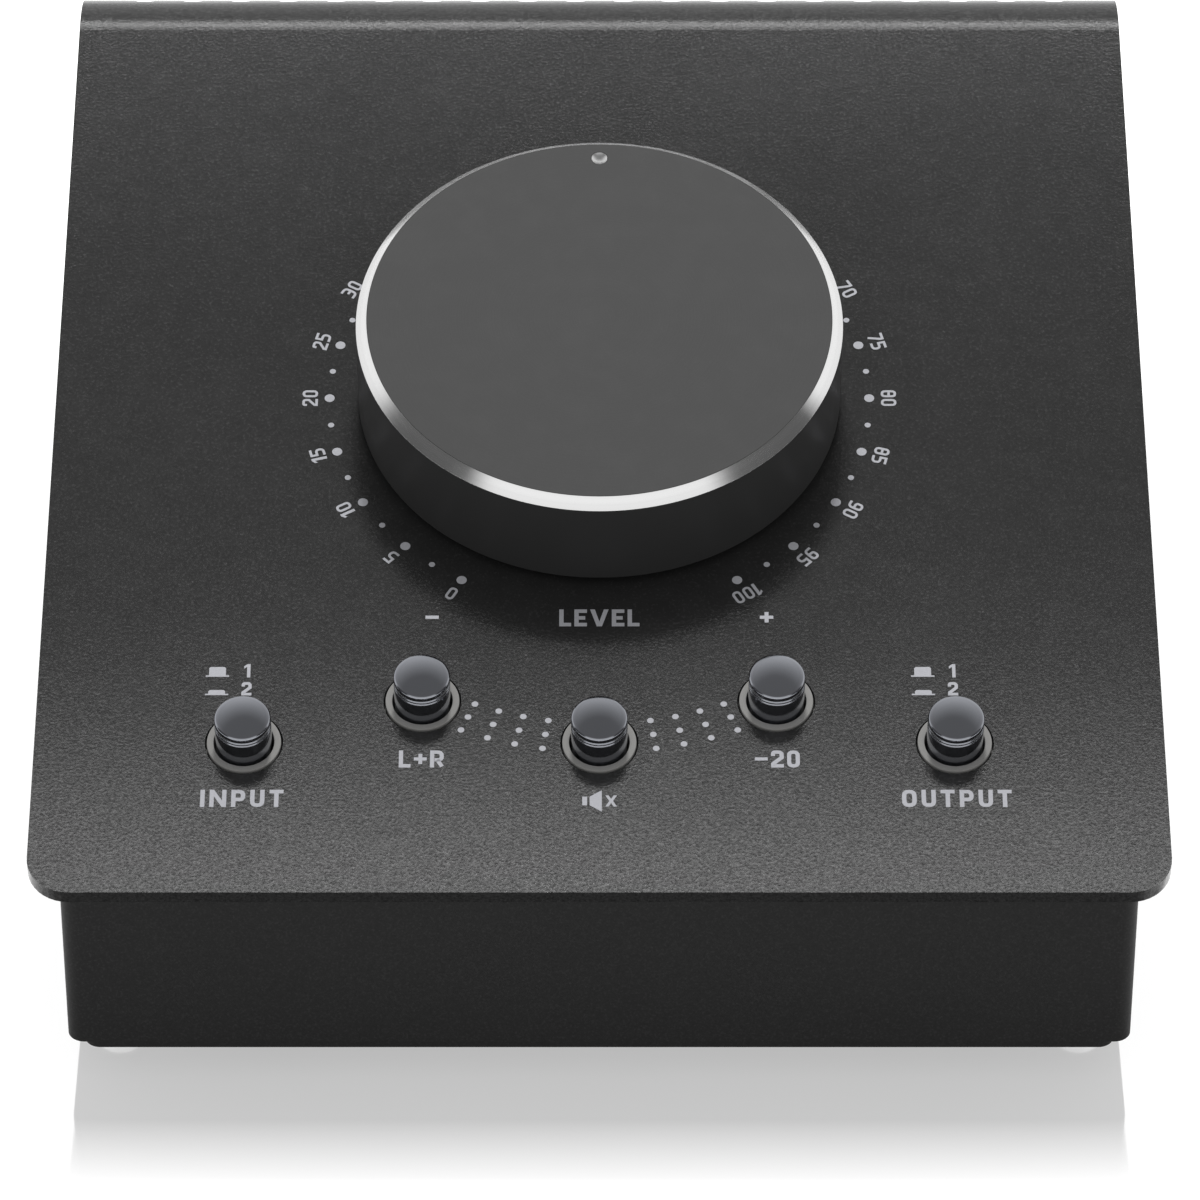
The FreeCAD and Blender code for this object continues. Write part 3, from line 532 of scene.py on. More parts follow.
# ---------------------------------------------------------------- finishes

PLAIN = (1, 1, 1)
FINISHES = {}


def shade(level, tint=PLAIN):
    """A grey of the given screen level, 0 to 255, as a linear colour, times a tint."""
    share = level / 255
    linear = share / 12.92 if share <= 0.04045 else ((share + 0.055) / 1.055) ** 2.4
    return tuple(linear * part for part in tint) + (1,)


def new_finish(name, roughness, metallic=0.0, specular=0.5):
    """A finish with its shader's plain constants. Returns the tree, shader and coordinates."""
    material = bpy.data.materials.new(f"{name}_finish")
    FINISHES[name] = material
    material.use_nodes = True
    tree = material.node_tree
    shader = tree.nodes["Principled BSDF"]
    set_inputs(shader, {"Roughness": roughness, "Metallic": metallic, "Specular IOR Level": specular})
    return tree, shader, add_node(tree, "TexCoord", {})["Object"]


def use_effect(tree, group, where, **values):
    """Places a shared effect with this finish's own value."""
    return add_node(tree, "Group", {"Vector": where, **values}, node_tree=group)


def uneven(tree, handling, roughness):
    """Roughness that handling has changed from place to place."""
    return calculate(tree, "ADD", handling["Shine Change"], roughness, use_clamp=True)


def relief(tree, height, strength, depth):
    """Relief from a height that varies over the surface. The depth is in millimetres."""
    return add_node(tree, "Bump", {"Height": height, "Strength": strength, "Distance": depth * MM})[0]


def about_dial(tree, where):
    """Coordinates of the panel's frame, for marks that run about the dial."""
    return add_node(tree, "Mapping", {"Vector": where, "Location": DIAL, "Rotation": (SLOPE, 0, 0)},
                    vector_type="TEXTURE")[0]


def powder_paint(name, dark, light, grain_size, depth, roughness, specular, spread, painted_edge_shade=None):
    """Textured powder coat: pebbles that shine unevenly by the spread, sparse flecks and a film of dust.
    Given an edge shade level, faces that look straight forward, such as the sheet's cut front edge, get
    painted shade: a darker coat and a duller shine."""
    tree, shader, where = new_finish(name, roughness, specular=specular)
    grain = use_effect(tree, GRAIN, where, Size=grain_size)
    handling = use_effect(tree, HANDLING, where, Amount=0.02)
    dust = use_effect(tree, DUST, where, Amount=0.03)
    coat = blend(tree, grain["Mottle"], shade(dark), shade(light))
    flecked = blend(tree, grain["Fleck"], coat, shade(light + 9))
    coat = blend(tree, dust["Mask"], flecked, shade(120))
    shine = remap(tree, grain["Height"], low=0.45, high=0.9,
                  to_low=(1 - spread) * specular, to_high=(1 + spread) * specular)
    if painted_edge_shade:
        # Painted shade: faces that look straight forward get a darker coat and less shine.
        forward = split(tree, add_node(tree, "NewGeometry", {})["True Normal"])["Y"]
        edge = remap(tree, forward, low=-0.8, high=-0.97)
        coat = blend(tree, edge, coat, shade(painted_edge_shade))
        kept = remap(tree, edge, low=0.0, high=1.0, to_low=1.0, to_high=0.3)
        shine = calculate(tree, "MULTIPLY", shine, kept)
    set_inputs(shader, {
        "Specular IOR Level": shine, "Base Color": coat, "Roughness": uneven(tree, handling, roughness),
        "Normal": relief(tree, grain["Height"], strength=0.55, depth=depth)})


def moulded_plastic(name, dark, light, roughness, specular=0.4, tint=PLAIN):
    """Moulded plastic: fine spark-eroded texture, faint flow marks."""
    tree, shader, where = new_finish(name, roughness, specular=specular)
    grain = use_effect(tree, GRAIN, where, Size=0.18)
    handling = use_effect(tree, HANDLING, where, Amount=0.12)
    set_inputs(shader, {
        "Base Color": blend(tree, handling["Smear"], shade(dark, tint), shade(light, tint)),
        "Roughness": uneven(tree, handling, roughness),
        "Normal": relief(tree, grain["Height"], strength=0.25, depth=0.02)})


def turned_metal(name, dark, light, roughness, pitch, depth, tint=PLAIN, on_dial=False):
    """Bare or plated metal with turning marks, a little uneven in shine."""
    tree, shader, where = new_finish(name, roughness, metallic=1.0)
    axis = about_dial(tree, where) if on_dial else where
    marks = use_effect(tree, TURNING, axis, Pitch=pitch)
    handling = use_effect(tree, HANDLING, where, Amount=0.12)
    set_inputs(shader, {
        "Base Color": blend(tree, marks["Line"], shade(dark, tint), shade(light, tint)),
        "Roughness": uneven(tree, handling, roughness),
        "Normal": relief(tree, marks["Height"], strength=0.3, depth=depth)})


def knob_face_finish():
    """The knob's matt disc: an even grey with the faintest turned lustre."""
    tree, shader, where = new_finish("knob_face", roughness=0.85, specular=0.08)
    marks = use_effect(tree, TURNING, about_dial(tree, where), Pitch=0.12)
    grain = use_effect(tree, GRAIN, where, Size=0.12)
    dust = use_effect(tree, DUST, where, Amount=0.03)
    face = blend(tree, marks["Line"], shade(85), shade(88))
    flecked = blend(tree, grain["Fleck"], face, shade(92))
    set_inputs(shader, {
        "Base Color": blend(tree, dust["Mask"], flecked, shade(140)),
        "Normal": relief(tree, grain["Height"], strength=0.15, depth=0.01)})


def knob_side_finish(roughness=0.38):
    """The knob's side: satin black anodising with very fine turning marks."""
    tree, shader, where = new_finish("knob_black", roughness, specular=0.2)
    marks = use_effect(tree, TURNING, about_dial(tree, where), Pitch=0.15)
    handling = use_effect(tree, HANDLING, where, Amount=0.14)
    set_inputs(shader, {
        "Base Color": blend(tree, marks["Line"], shade(62), shade(65)),
        "Roughness": uneven(tree, handling, roughness),
        "Normal": relief(tree, marks["Height"], strength=0.2, depth=0.01)})


def cap_finish(roughness=0.14, tint=(0.94, 0.97, 1.06)):
    """The button caps: dark metallised gloss with a bluish cast and faint smears."""
    tree, shader, where = new_finish("cap_gloss", roughness, metallic=1.0)
    handling = use_effect(tree, HANDLING, where, Amount=0.08)
    set_inputs(shader, {
        "Base Color": blend(tree, handling["Smear"], shade(150, tint), shade(158, tint)),
        "Roughness": uneven(tree, handling, roughness)})


def ink_finish(tint=(0.98, 0.99, 1.06)):
    """Screen-printed grey-blue ink, a little thin in places."""
    tree, shader, where = new_finish("print_ink", roughness=0.6, specular=0.2)
    height = use_effect(tree, GRAIN, where, Size=0.25)["Height"]
    set_inputs(shader, {
        "Base Color": blend(tree, height, shade(204, tint), shade(186, tint)),
        "Normal": relief(tree, height, strength=0.3, depth=0.02)})


def rubber_finish():
    """Black rubber: dull, lightly pitted."""
    tree, shader, where = new_finish("rubber", roughness=0.85, specular=0.2)
    grain = use_effect(tree, GRAIN, where, Size=0.5)
    set_inputs(shader, {
        "Base Color": blend(tree, grain["Fleck"], shade(34), shade(46)),
        "Normal": relief(tree, grain["Height"], strength=0.5, depth=0.05)})


def board_finish():
    """Circuit board: green solder mask over faintly raised copper tracks."""
    tree, shader, where = new_finish("board", roughness=0.35)
    tracks = add_node(tree, "TexBrick", {"Vector": where, "Scale": 160.0, "Mortar Size": 0.06})["Fac"]
    set_inputs(shader, {
        "Base Color": blend(tree, tracks, shade(70, (0.25, 1.0, 0.45)), shade(92, (0.3, 1.0, 0.5))),
        "Normal": relief(tree, tracks, strength=0.4, depth=0.03)})


def resistor_finish():
    """Blue lacquered resistor bodies with darker colour bands across their length."""
    tree, shader, where = new_finish("resistor_body", roughness=0.3)
    waves = add_node(tree, "TexWave", {"Vector": where, "Scale": 105.0}, bands_direction="X")["Fac"]
    bands = remap(tree, waves, low=0.72, high=0.78)
    set_inputs(shader, {
        "Base Color": blend(tree, bands, shade(170, (0.6, 0.85, 1.0)), shade(90, (1.0, 0.5, 0.3)))})


def ribbon_finish():
    """Grey ribbon cable: parallel wires side by side."""
    tree, shader, where = new_finish("ribbon", roughness=0.5)
    wires = add_node(tree, "TexWave", {"Vector": where, "Scale": 250.0}, bands_direction="X")["Fac"]
    set_inputs(shader, {
        "Base Color": blend(tree, wires, shade(120), shade(176)),
        "Normal": relief(tree, wires, strength=0.6, depth=0.3)})


# The cover's forward-looking cut edge gets painted shade at level 20; the real edge is the same coat.
powder_paint("cover_paint", dark=46, light=50, grain_size=0.36, depth=0.035, roughness=0.17,
             specular=0.22, spread=0.58, painted_edge_shade=20)
powder_paint("body_paint", dark=29, light=31, grain_size=0.3, depth=0.02, roughness=0.55,
             specular=0.15, spread=0.2)
knob_face_finish()
knob_side_finish()
cap_finish()
ink_finish()
rubber_finish()
board_finish()
resistor_finish()
ribbon_finish()
# Metals: name, darkest and lightest level, roughness, pitch and depth of the marks in millimetres.
turned_metal("steel", 178, 196, 0.32, 0.12, 0.01)
turned_metal("nickel", 190, 208, 0.26, 0.12, 0.01, tint=(1.0, 0.98, 0.94))
turned_metal("knob_edge", 226, 234, 0.17, 0.08, 0.004, on_dial=True)
turned_metal("pointer_metal", 205, 218, 0.35, 0.1, 0.005)
turned_metal("brass", 200, 215, 0.25, 0.1, 0.01, tint=(1.0, 0.8, 0.42))
turned_metal("spring_steel", 170, 190, 0.3, 0.1, 0.01)
# Plastics: name, darkest and lightest level, roughness.
moulded_plastic("collar_plastic", 156, 162, 0.6, specular=0.25, tint=(1.0, 0.99, 0.96))
moulded_plastic("black_plastic", 34, 38, 0.5)
moulded_plastic("track_plastic", 110, 120, 0.5, tint=(1.0, 0.7, 0.4))
moulded_plastic("switch_plastic", 44, 50, 0.45)


# ---------------------------------------------------------------- cover

def panel_place(across, along, out=0.0):
    """A point of the panel's frame in the row frame."""
    return ON_PANEL @ Vector((across, along, out))


def centre_of(node):
    """The middle of a node's box."""
    low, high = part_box(node)
    return (low + high) / 2


def button_place(button):
    """The button's place across and along the panel, from its switch, which is even about its axis."""
    spot = ON_PANEL.inverted() @ centre_of(f"{button}_switch")
    return Vector((spot.x, spot.y))


def jack_place(name):
    """The middle of a socket on the rear wall's outer face."""
    spot = centre_of(f"jack_{name}")
    return Vector((spot.x, COVER_HIGH.y, spot.z))


def rear_screw_places():
    """The four screws of the rear wall, from the box that holds them all."""
    low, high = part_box("rear_screws")
    return [Vector((x, COVER_HIGH.y, z))
            for x in (low.x + SCREW_HEAD_RADIUS, high.x - SCREW_HEAD_RADIUS)
            for z in (low.z + SCREW_HEAD_RADIUS, high.z - SCREW_HEAD_RADIUS)]


def base_screw_places():
    """The six screws under the base plate: two rows of three, evenly spaced."""
    low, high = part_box("base_screws")
    front = low.y + SCREW_HEAD_RADIUS
    back = high.y - SCREW_HEAD_RADIUS
    return [Vector((x, y, low.z + SCREW_HEAD))
            for x in (low.x + SCREW_HEAD_RADIUS, high.x - SCREW_HEAD_RADIUS)
            for y in (front, (front + back) / 2, back)]


def bend_place(radius, angle):
    """A place on the bend. The angle is from upright."""
    return BEND_CENTRE + radius * Vector((0, sin(angle), cos(angle)))


def bent_strip(name, half_width, radius, start_angle, low_z):
    """An edge across X spun round the bend and drawn down the rear wall."""
    top = bend_place(radius, start_angle)
    across = Vector((half_width, 0, 0))
    piece = draw_line(name, [top - across, top + across])
    select_all()
    turn = pi / 2 - start_angle
    bpy.ops.mesh.spin(steps=round(turn / BEND_STEP), angle=turn, center=BEND_CENTRE, axis=(1, 0, 0))
    extrude((0, 0, low_z - BEND_CENTRE.z))
    return piece


def select_vertices(piece, wanted):
    """Selects the vertices of the open piece that the test wants."""
    bpy.ops.mesh.select_mode(type="VERT")
    bpy.ops.mesh.select_all(action="DESELECT")
    mesh = bmesh.from_edit_mesh(piece.data)
    for vertex in mesh.verts:
        vertex.select = wanted(vertex.co)
    mesh.select_flush(True)
    bmesh.update_edit_mesh(piece.data)


def face_outwards(piece, direction):
    """Turns the open sheet so that its largest face looks along the direction, and closes the piece."""
    merge_points()
    turn_outwards()
    mesh = bmesh.from_edit_mesh(piece.data)
    mesh.faces.ensure_lookup_table()
    largest = max(mesh.faces, key=lambda face: face.calc_area())
    if largest.normal.dot(direction) < 0:
        bpy.ops.mesh.flip_normals()
    to_object()


def vent_cutter():
    """One slot with round ends that follows the bend and the rear wall, repeated across the cover."""
    middle = BEND_RADIUS - SHEET / 2
    low_z = BEND_CENTRE.z - VENT_DROP
    slot = bent_strip("vent_slot", VENT_WIDTH / 2, middle, VENT_TOP_ANGLE, low_z)
    top = bend_place(middle, VENT_TOP_ANGLE)
    end_reach = VENT_WIDTH * 0.51
    merge_points()
    select_vertices(slot, lambda spot: abs(spot.z - low_z) < SAME_LEVEL or (spot - top).length < end_reach)
    bpy.ops.mesh.bevel(affect="VERTICES", offset=VENT_WIDTH * 0.49, segments=6)
    face_outwards(slot, Vector((0, 1, 0)))
    first = -(COVER_HIGH.x - VENT_SIDE)
    place(slot, Matrix.Translation((first, 0, 0)))
    apply_modifier(slot, "SOLIDIFY", thickness=3 * SHEET, offset=0)
    pitch = -2 * first / (VENT_COUNT - 1)
    apply_modifier(slot, "ARRAY", count=VENT_COUNT, use_relative_offset=False,
                   use_constant_offset=True, constant_offset_displace=(pitch, 0, 0))
    return slot


def hole_cutter():
    """Rods for the panel's and the rear wall's round holes."""
    holes = [(BUTTON_HOLE, panel_place(*button_place(button)), SLOPE, 64) for button in BUTTONS]
    holes.append((BUSHING_HOLE, panel_place(0, 0), SLOPE, 64))
    holes += [(JACK_HOLE, jack_place(name), pi / 2, 48) for name in JACK_NAMES]
    holes += [(SCREW_HOLE, spot, pi / 2, 32) for spot in rear_screw_places()]
    return join([rod("hole", radius, HOLE_REACH, *rest) for radius, *rest in holes], "holes")


def make_cover():
    """The cover: sloping panel, bend with vent slots, rear wall, holes, softened edges."""
    piece = bent_strip("top_cover_sheet", COVER_HIGH.x, BEND_RADIUS, -SLOPE, COVER_LOW.z)
    bend_start = BEND_CENTRE + BEND_RADIUS * NORMAL
    uphill = Vector((0, cos(SLOPE), sin(SLOPE)))
    rise = COVER_LOW.y - bend_start.y
    select_vertices(piece, lambda spot: (spot - bend_start).dot(uphill) < NEAR and spot.z > BEND_CENTRE.z)
    extrude((0, rise, rise * tan(SLOPE)))
    select_vertices(piece, lambda spot: spot.y < COVER_LOW.y + SAME_LEVEL)
    bpy.ops.mesh.bevel(affect="VERTICES", offset=PANEL_CORNER, segments=10)
    face_outwards(piece, NORMAL)
    apply_modifier(piece, "SOLIDIFY", thickness=SHEET, offset=-1, use_even_offset=True)
    cut(piece, hole_cutter())
    cut(piece, vent_cutter())
    soften(piece, 0.22 * MM, angle=40, flat=(NORMAL, *Matrix.Identity(3)))
    dress(piece, "cover_paint")
    seat(piece, "case", ["top_cover"])
    return piece


# ---------------------------------------------------------------- knob

def make_knob():
    """The knob: hollow black shell, bright bevelled ring, matt disc and the small dished pointer."""
    inner = KNOB_RADIUS - KNOB_WALL
    ring_edge = RING_LEDGE - SEAT_GAP
    disc_edge = DISC_RADIUS - SEAT_GAP
    shell = lathe("knob_shell_turned", [
        (0, DISC_FLOOR), (RING_LEDGE, DISC_FLOOR), (RING_LEDGE, SIDE_TOP), (KNOB_RADIUS, SIDE_TOP),
        (KNOB_RADIUS, KNOB_GAP), (inner, KNOB_GAP), (inner, WEB_FLOOR), (BOSS_RADIUS, WEB_FLOOR),
        (BOSS_RADIUS, BOSS_BOTTOM), (HUB_HOLE, BOSS_BOTTOM), (HUB_HOLE, WEB_FLOOR),
        (0, WEB_FLOOR)], KNOB_STEPS)
    soften(shell, 0.15 * MM)
    ring = lathe("knob_ring_turned", [
        (DISC_RADIUS, DISC_FLOOR), (ring_edge, DISC_FLOOR), (ring_edge, SIDE_TOP),
        (KNOB_RADIUS, SIDE_TOP), (DISC_RADIUS, KNOB_TOP), (DISC_RADIUS, DISC_FLOOR)], KNOB_STEPS)
    soften(ring, 0.04 * MM)
    disc = lathe("knob_disc_turned", [
        (0, DISC_FLOOR), (disc_edge, DISC_FLOOR), (disc_edge, KNOB_TOP), (0, KNOB_TOP)], KNOB_STEPS)
    cut(disc, rod("pointer_hole", POINTER_RADIUS + SEAT_GAP, 2 * (KNOB_TOP - POINTER_FLOOR),
                  (0, POINTER_PLACE, KNOB_TOP), sides=POINTER_STEPS))
    soften(disc, 0.05 * MM)
    dish_radius = (POINTER_RADIUS ** 2 + POINTER_DISH ** 2) / (2 * POINTER_DISH)
    edge_angle = -90 + asin(POINTER_RADIUS / dish_radius) * 180 / pi
    dish = arc((0, KNOB_TOP - POINTER_DISH + dish_radius), dish_radius, edge_angle, -90, 8)
    pointer = lathe("knob_pointer_turned", [
        (0, POINTER_FLOOR), (POINTER_RADIUS, POINTER_FLOOR), *dish], POINTER_STEPS)
    soften(pointer, 0.03 * MM, angle=50)
    place(pointer, Matrix.Translation((0, POINTER_PLACE, 0)))
    for piece, node, slot in (
            (shell, "knob_shell", "knob_black"), (ring, "knob_ring", "knob_edge"),
            (disc, "knob_disc", "knob_face"), (pointer, "knob_pointer", "pointer_metal")):
        dress(piece, slot)
        place(piece, ON_PANEL)
        seat(piece, "knob", [node])


# ---------------------------------------------------------------- buttons

def cap_outline():
    """Half section of a cap: socket, straight side with two fine grooves, rounded rim and low dome."""
    crown = CAP_RADIUS - CAP_SHOULDER
    rise = CAP_TOP - CAP_RIM - CAP_SHOULDER
    dome = (crown ** 2 + rise ** 2) / (2 * rise)
    groove = CAP_RADIUS - GROOVE_DEPTH
    grooves = []
    for height in reversed(GROOVE_HEIGHTS):
        grooves += [(CAP_RADIUS, height - GROOVE_DEPTH), (groove, height - GROOVE_DEPTH / 3),
                    (groove, height + GROOVE_DEPTH / 3), (CAP_RADIUS, height + GROOVE_DEPTH)]
    dome_edge = 90 - asin(crown / dome) * 180 / pi
    return [(SOCKET_RADIUS, CAP_FOOT), (CAP_RADIUS, CAP_FOOT), *grooves,
            *arc((crown, CAP_RIM), CAP_SHOULDER, 0, dome_edge, 6),
            *arc((0, CAP_TOP - dome), dome, dome_edge, 90, 12)[1:],
            (0, SOCKET_TOP), (SOCKET_RADIUS, SOCKET_TOP), (SOCKET_RADIUS, CAP_FOOT)]


def make_buttons():
    """One cap and one collar, modelled once and copied to the five places."""
    cap = lathe("cap_model", cap_outline(), BUTTON_STEPS)
    soften(cap, 0.03 * MM, segments=1, angle=45)
    dress(cap, "cap_gloss")
    back = -2 * SHEET
    collar = lathe("collar_model", [
        (COLLAR_BORE, back), (COLLAR_FLANGE, back), (COLLAR_FLANGE, -SHEET), (COLLAR_RADIUS, -SHEET),
        (COLLAR_RADIUS, COLLAR_HEIGHT), (COLLAR_BORE, COLLAR_HEIGHT), (COLLAR_BORE, back)], BUTTON_STEPS)
    soften(collar, 0.12 * MM, segments=3)
    dress(collar, "collar_plastic")
    for button in BUTTONS:
        there = ON_PANEL @ Matrix.Translation((*button_place(button), 0))
        set_down(cap, f"{button}_cap_turned", there, f"{button}_button", [f"{button}_cap"])
        set_down(collar, f"{button}_collar", there, "case", ["button_collars"])
    remove(cap, collar)


# ---------------------------------------------------------------- rear sockets, fasteners and feet

def make_nut_model():
    """A hexagon nut with turned-down corners and a clear bore."""
    nut = rod("nut_model", NUT_CORNER, NUT_THICK, (0, 0, NUT_THICK / 2), sides=6)
    flat = NUT_CORNER * cos(pi / 6)
    drop = (NUT_BLANK - flat) * NUT_CONE
    cone = lathe("nut_cone", [
        (0, -MM), (NUT_BLANK, -MM), (NUT_BLANK, NUT_THICK - drop), (flat, NUT_THICK), (0, NUT_THICK)], 96)
    cut(nut, cone, "INTERSECT")
    cut(nut, rod("nut_bore", BUSHING_RADIUS + NUT_CLEARANCE, 4 * NUT_THICK, (0, 0, 0), sides=64))
    soften(nut, 0.12 * MM, angle=25)
    dress(nut, "nickel")
    return nut


def make_bushing_model():
    """The threaded bushing of a socket, from the wall's inner face outwards, with a chamfered mouth."""
    thread = []
    root = BUSHING_RADIUS - THREAD_DEPTH
    for turn in range(round((JACK_REACH + SHEET) / THREAD_PITCH) - 1):
        base = -SHEET + turn * THREAD_PITCH
        thread += [(BUSHING_RADIUS, base + THREAD_CREST * THREAD_PITCH), (root, base + 0.5 * THREAD_PITCH),
                   (BUSHING_RADIUS, base + (1 - THREAD_CREST) * THREAD_PITCH)]
    bushing = lathe("bushing_model", [
        (JACK_BORE, -SHEET), (BUSHING_RADIUS, -SHEET), *thread,
        (BUSHING_RADIUS, JACK_REACH - BUSHING_CHAMFER), (BUSHING_RADIUS - BUSHING_CHAMFER, JACK_REACH),
        (JACK_BORE + JACK_MOUTH, JACK_REACH), (JACK_BORE, JACK_REACH - JACK_MOUTH), (JACK_BORE, -SHEET)], 72)
    soften(bushing, 0.04 * MM, segments=1, angle=40)
    dress(bushing, "nickel")
    return bushing


def make_housing_model():
    """The socket's box behind the wall, with a round bore that ends at its back wall."""
    deep = JACK_BOX.y
    housing = block("housing_model", (JACK_BOX.x, JACK_BOX.z, deep), -SHEET - deep / 2)
    bore = deep - JACK_BACK_WALL
    cut(housing, rod("bore", JACK_BORE, bore + MM, (0, 0, -SHEET - bore / 2 + MM / 2)))
    soften(housing, 0.3 * MM)
    dress(housing, "black_plastic")
    return housing


def make_jacks():
    """Eight sockets: housing and bushing together, and the nut on each."""
    nut = make_nut_model()
    socket = join([make_housing_model(), make_bushing_model()], "socket_model")
    for name in JACK_NAMES:
        there = Matrix.Translation(jack_place(name)) @ FACING_BACK
        set_down(socket, f"socket_{name}", there, "case", [f"jack_{name}"])
        set_down(nut, f"nut_{name}", there, "case", ["jack_nuts"])
    remove(nut, socket)


def make_screws():
    """Pan-head screws with a hexagon socket, on the rear wall and under the base plate."""
    dome = arc((0, -SCREW_DOME_CENTRE), SCREW_HEAD + SCREW_DOME_CENTRE, SCREW_DOME_START, 90, 8)
    screw = lathe("screw_model", [
        (0, -SCREW_LENGTH), (SCREW_RADIUS, -SCREW_LENGTH), (SCREW_RADIUS, 0), (SCREW_HEAD_RADIUS, 0),
        (SCREW_HEAD_RADIUS, dome[0][1]), *dome], 48)
    low = SCREW_HEAD - SCREW_SOCKET_DEPTH
    high = SCREW_HEAD + MM
    cut(screw, rod("socket", SCREW_SOCKET, high - low, (0, 0, (low + high) / 2), sides=6))
    soften(screw, 0.08 * MM)
    dress(screw, "steel")
    for side, spots, facing in (
            ("rear", rear_screw_places(), FACING_BACK), ("base", base_screw_places(), FACING_DOWN)):
        for number, spot in enumerate(spots, 1):
            there = Matrix.Translation(spot) @ facing
            set_down(screw, f"{side}_screw_{number}", there, "case", [f"{side}_screws"])
    remove(screw)


def select_level(piece, level):
    """Selects the level faces of the open piece at a height."""
    bpy.ops.mesh.select_all(action="DESELECT")
    mesh = bmesh.from_edit_mesh(piece.data)
    for face in mesh.faces:
        at_height = abs(face.calc_center_median().z - level) < SAME_LEVEL
        face.select = at_height and abs(face.normal.z) > 0.9
    bmesh.update_edit_mesh(piece.data)


def make_feet():
    """Four moulded rubber feet: a block with round corners, a glued rim above and a shallow hollow below."""
    low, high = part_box("rubber_feet")
    body = high.z - low.z - FOOT_RIM_THICK
    foot = block("foot_model", (FOOT_SIDE, FOOT_SIDE, body), body / 2)
    to_edit(foot)
    bpy.ops.mesh.select_mode(type="FACE")
    select_level(foot, 0)
    bpy.ops.mesh.inset(thickness=FOOT_HOLLOW_INSET)
    bpy.ops.transform.translate(value=(0, 0, FOOT_HOLLOW))
    select_level(foot, body)
    extrude((0, 0, 0))
    grow = 1 + 2 * FOOT_RIM / FOOT_SIDE
    bpy.ops.transform.resize(value=(grow, grow, 1))
    extrude((0, 0, FOOT_RIM_THICK))
    turn_outwards()
    to_object()
    soften(foot, 0.35 * MM, segments=3)
    dress(foot, "rubber")
    half = FOOT_SIDE / 2 + FOOT_RIM
    spots = [(x, y, low.z) for x in (low.x + half, high.x - half) for y in (low.y + half, high.y - half)]
    for number, spot in enumerate(spots, 1):
        set_down(foot, f"rubber_foot_{number}", Matrix.Translation(spot), "case", ["rubber_feet"])
    remove(foot)


# ---------------------------------------------------------------- prints

def oval(width):
    """A stroke that closes, with four rounded corners."""
    return [(0, 0, 1), (0, 1, 1), (width, 1, 1), (width, 0, 1), (0, 0, 1)]


# Plain squarish letters and figures. Strokes are lines of a pen with square ends, heights from 0 to 1
# and widths as shares of the height. A point with a third value is a rounded corner.
NOTCH = [(0.2, 0.52), (0.3, 0.52)]
GLYPHS = {
    "0": (0.5, [oval(0.5)]),
    "2": (0.5, [[(0, 0.84), (0, 1, 1), (0.5, 1, 1), (0.5, 0.6), (0, 0.15), (0, 0), (0.5, 0)]]),
    "3": (0.5, [[(0, 1), (0.5, 1, 1), (0.5, 0, 1), (0, 0)], NOTCH]),
    "4": (0.54, [[(0.26, 1), (0, 0.36), (0, 0.26), (0.54, 0.26)], [(0.38, 0.6), (0.38, 0.46)],
                 [(0.38, 0.06), (0.38, 0)]]),
    "5": (0.5, [[(0.48, 1), (0, 1), (0, 0.56), (0.5, 0.56, 1), (0.5, 0, 1), (0, 0)]]),
    "6": (0.5, [[(0.46, 1), (0, 1, 1), (0, 0, 1), (0.5, 0, 1), (0.5, 0.56, 1), (0.2, 0.56)]]),
    "7": (0.5, [[(0, 1), (0.5, 1), (0.5, 0.84), (0.2, 0)]]),
    "8": (0.5, [oval(0.5), NOTCH]),
    "9": (0.5, [[(0.04, 0), (0.5, 0, 1), (0.5, 1, 1), (0, 1, 1), (0, 0.44, 1), (0.3, 0.44)]]),
    "E": (0.48, [[(0.48, 1), (0, 1), (0, 0), (0.48, 0)], [(0.26, 0.5), (0.38, 0.5)]]),
    "I": (0.0, [[(0, 0), (0, 1)]]),
    "L": (0.44, [[(0, 1), (0, 0), (0.44, 0)]]),
    "O": (0.6, [oval(0.6)]),
    "P": (0.56, [[(0, 0), (0, 1), (0.56, 1, 1), (0.56, 0.42, 1), (0.26, 0.42)]]),
    "R": (0.56, [[(0, 0), (0, 1), (0.56, 1, 1), (0.56, 0.44, 1), (0.26, 0.44)],
                 [(0.36, 0.34), (0.52, 0.06)]]),
    "T": (0.56, [[(0, 1), (0.56, 1)], [(0.28, 0.74), (0.28, 0)]]),
    "U": (0.58, [[(0, 1), (0, 0, 1), (0.58, 0, 1), (0.58, 1)]]),
}
# Letters with slanting strokes, as filled outlines: all lengths are shares of the whole height.
FILLED_GLYPHS = {
    "1": (0.38, [(0, 0.66), (0, 0.84), (0.2, 1), (0.38, 1), (0.38, 0), (0.18, 0), (0.18, 0.8)]),
    "N": (0.78, [(0, 0), (0, 1), (0.2, 1), (0.58, 0.38), (0.58, 1), (0.78, 1), (0.78, 0), (0.58, 0),
                 (0.2, 0.62), (0.2, 0)]),
    "V": (0.86, [(0, 1), (0.22, 1), (0.43, 0.27), (0.64, 1), (0.86, 1), (0.55, 0), (0.31, 0)]),
    "X": (0.84, [(0, 1), (0.24, 1), (0.42, 0.67), (0.6, 1), (0.84, 1), (0.55, 0.5), (0.84, 0), (0.6, 0),
                 (0.42, 0.33), (0.24, 0), (0, 0), (0.29, 0.5)]),
    "+": (0.6, [(0.21, 0.2), (0.39, 0.2), (0.39, 0.41), (0.6, 0.41), (0.6, 0.59), (0.39, 0.59), (0.39, 0.8),
                (0.21, 0.8), (0.21, 0.59), (0, 0.59), (0, 0.41), (0.21, 0.41)]),
    "-": (0.6, [(0, 0.41), (0.6, 0.41), (0.6, 0.59), (0, 0.59)]),
}
GLYPH_MODELS = {}


def filled_shape(name, outline):
    """A filled flat shape of ink from its outline, lying on Z = 0."""
    piece = draw_line(name, [(x, y, 0) for x, y in outline])
    select_all()
    bpy.ops.mesh.edge_face_add()
    extrude((0, 0, INK_THICK))
    turn_outwards()
    to_object()
    return piece


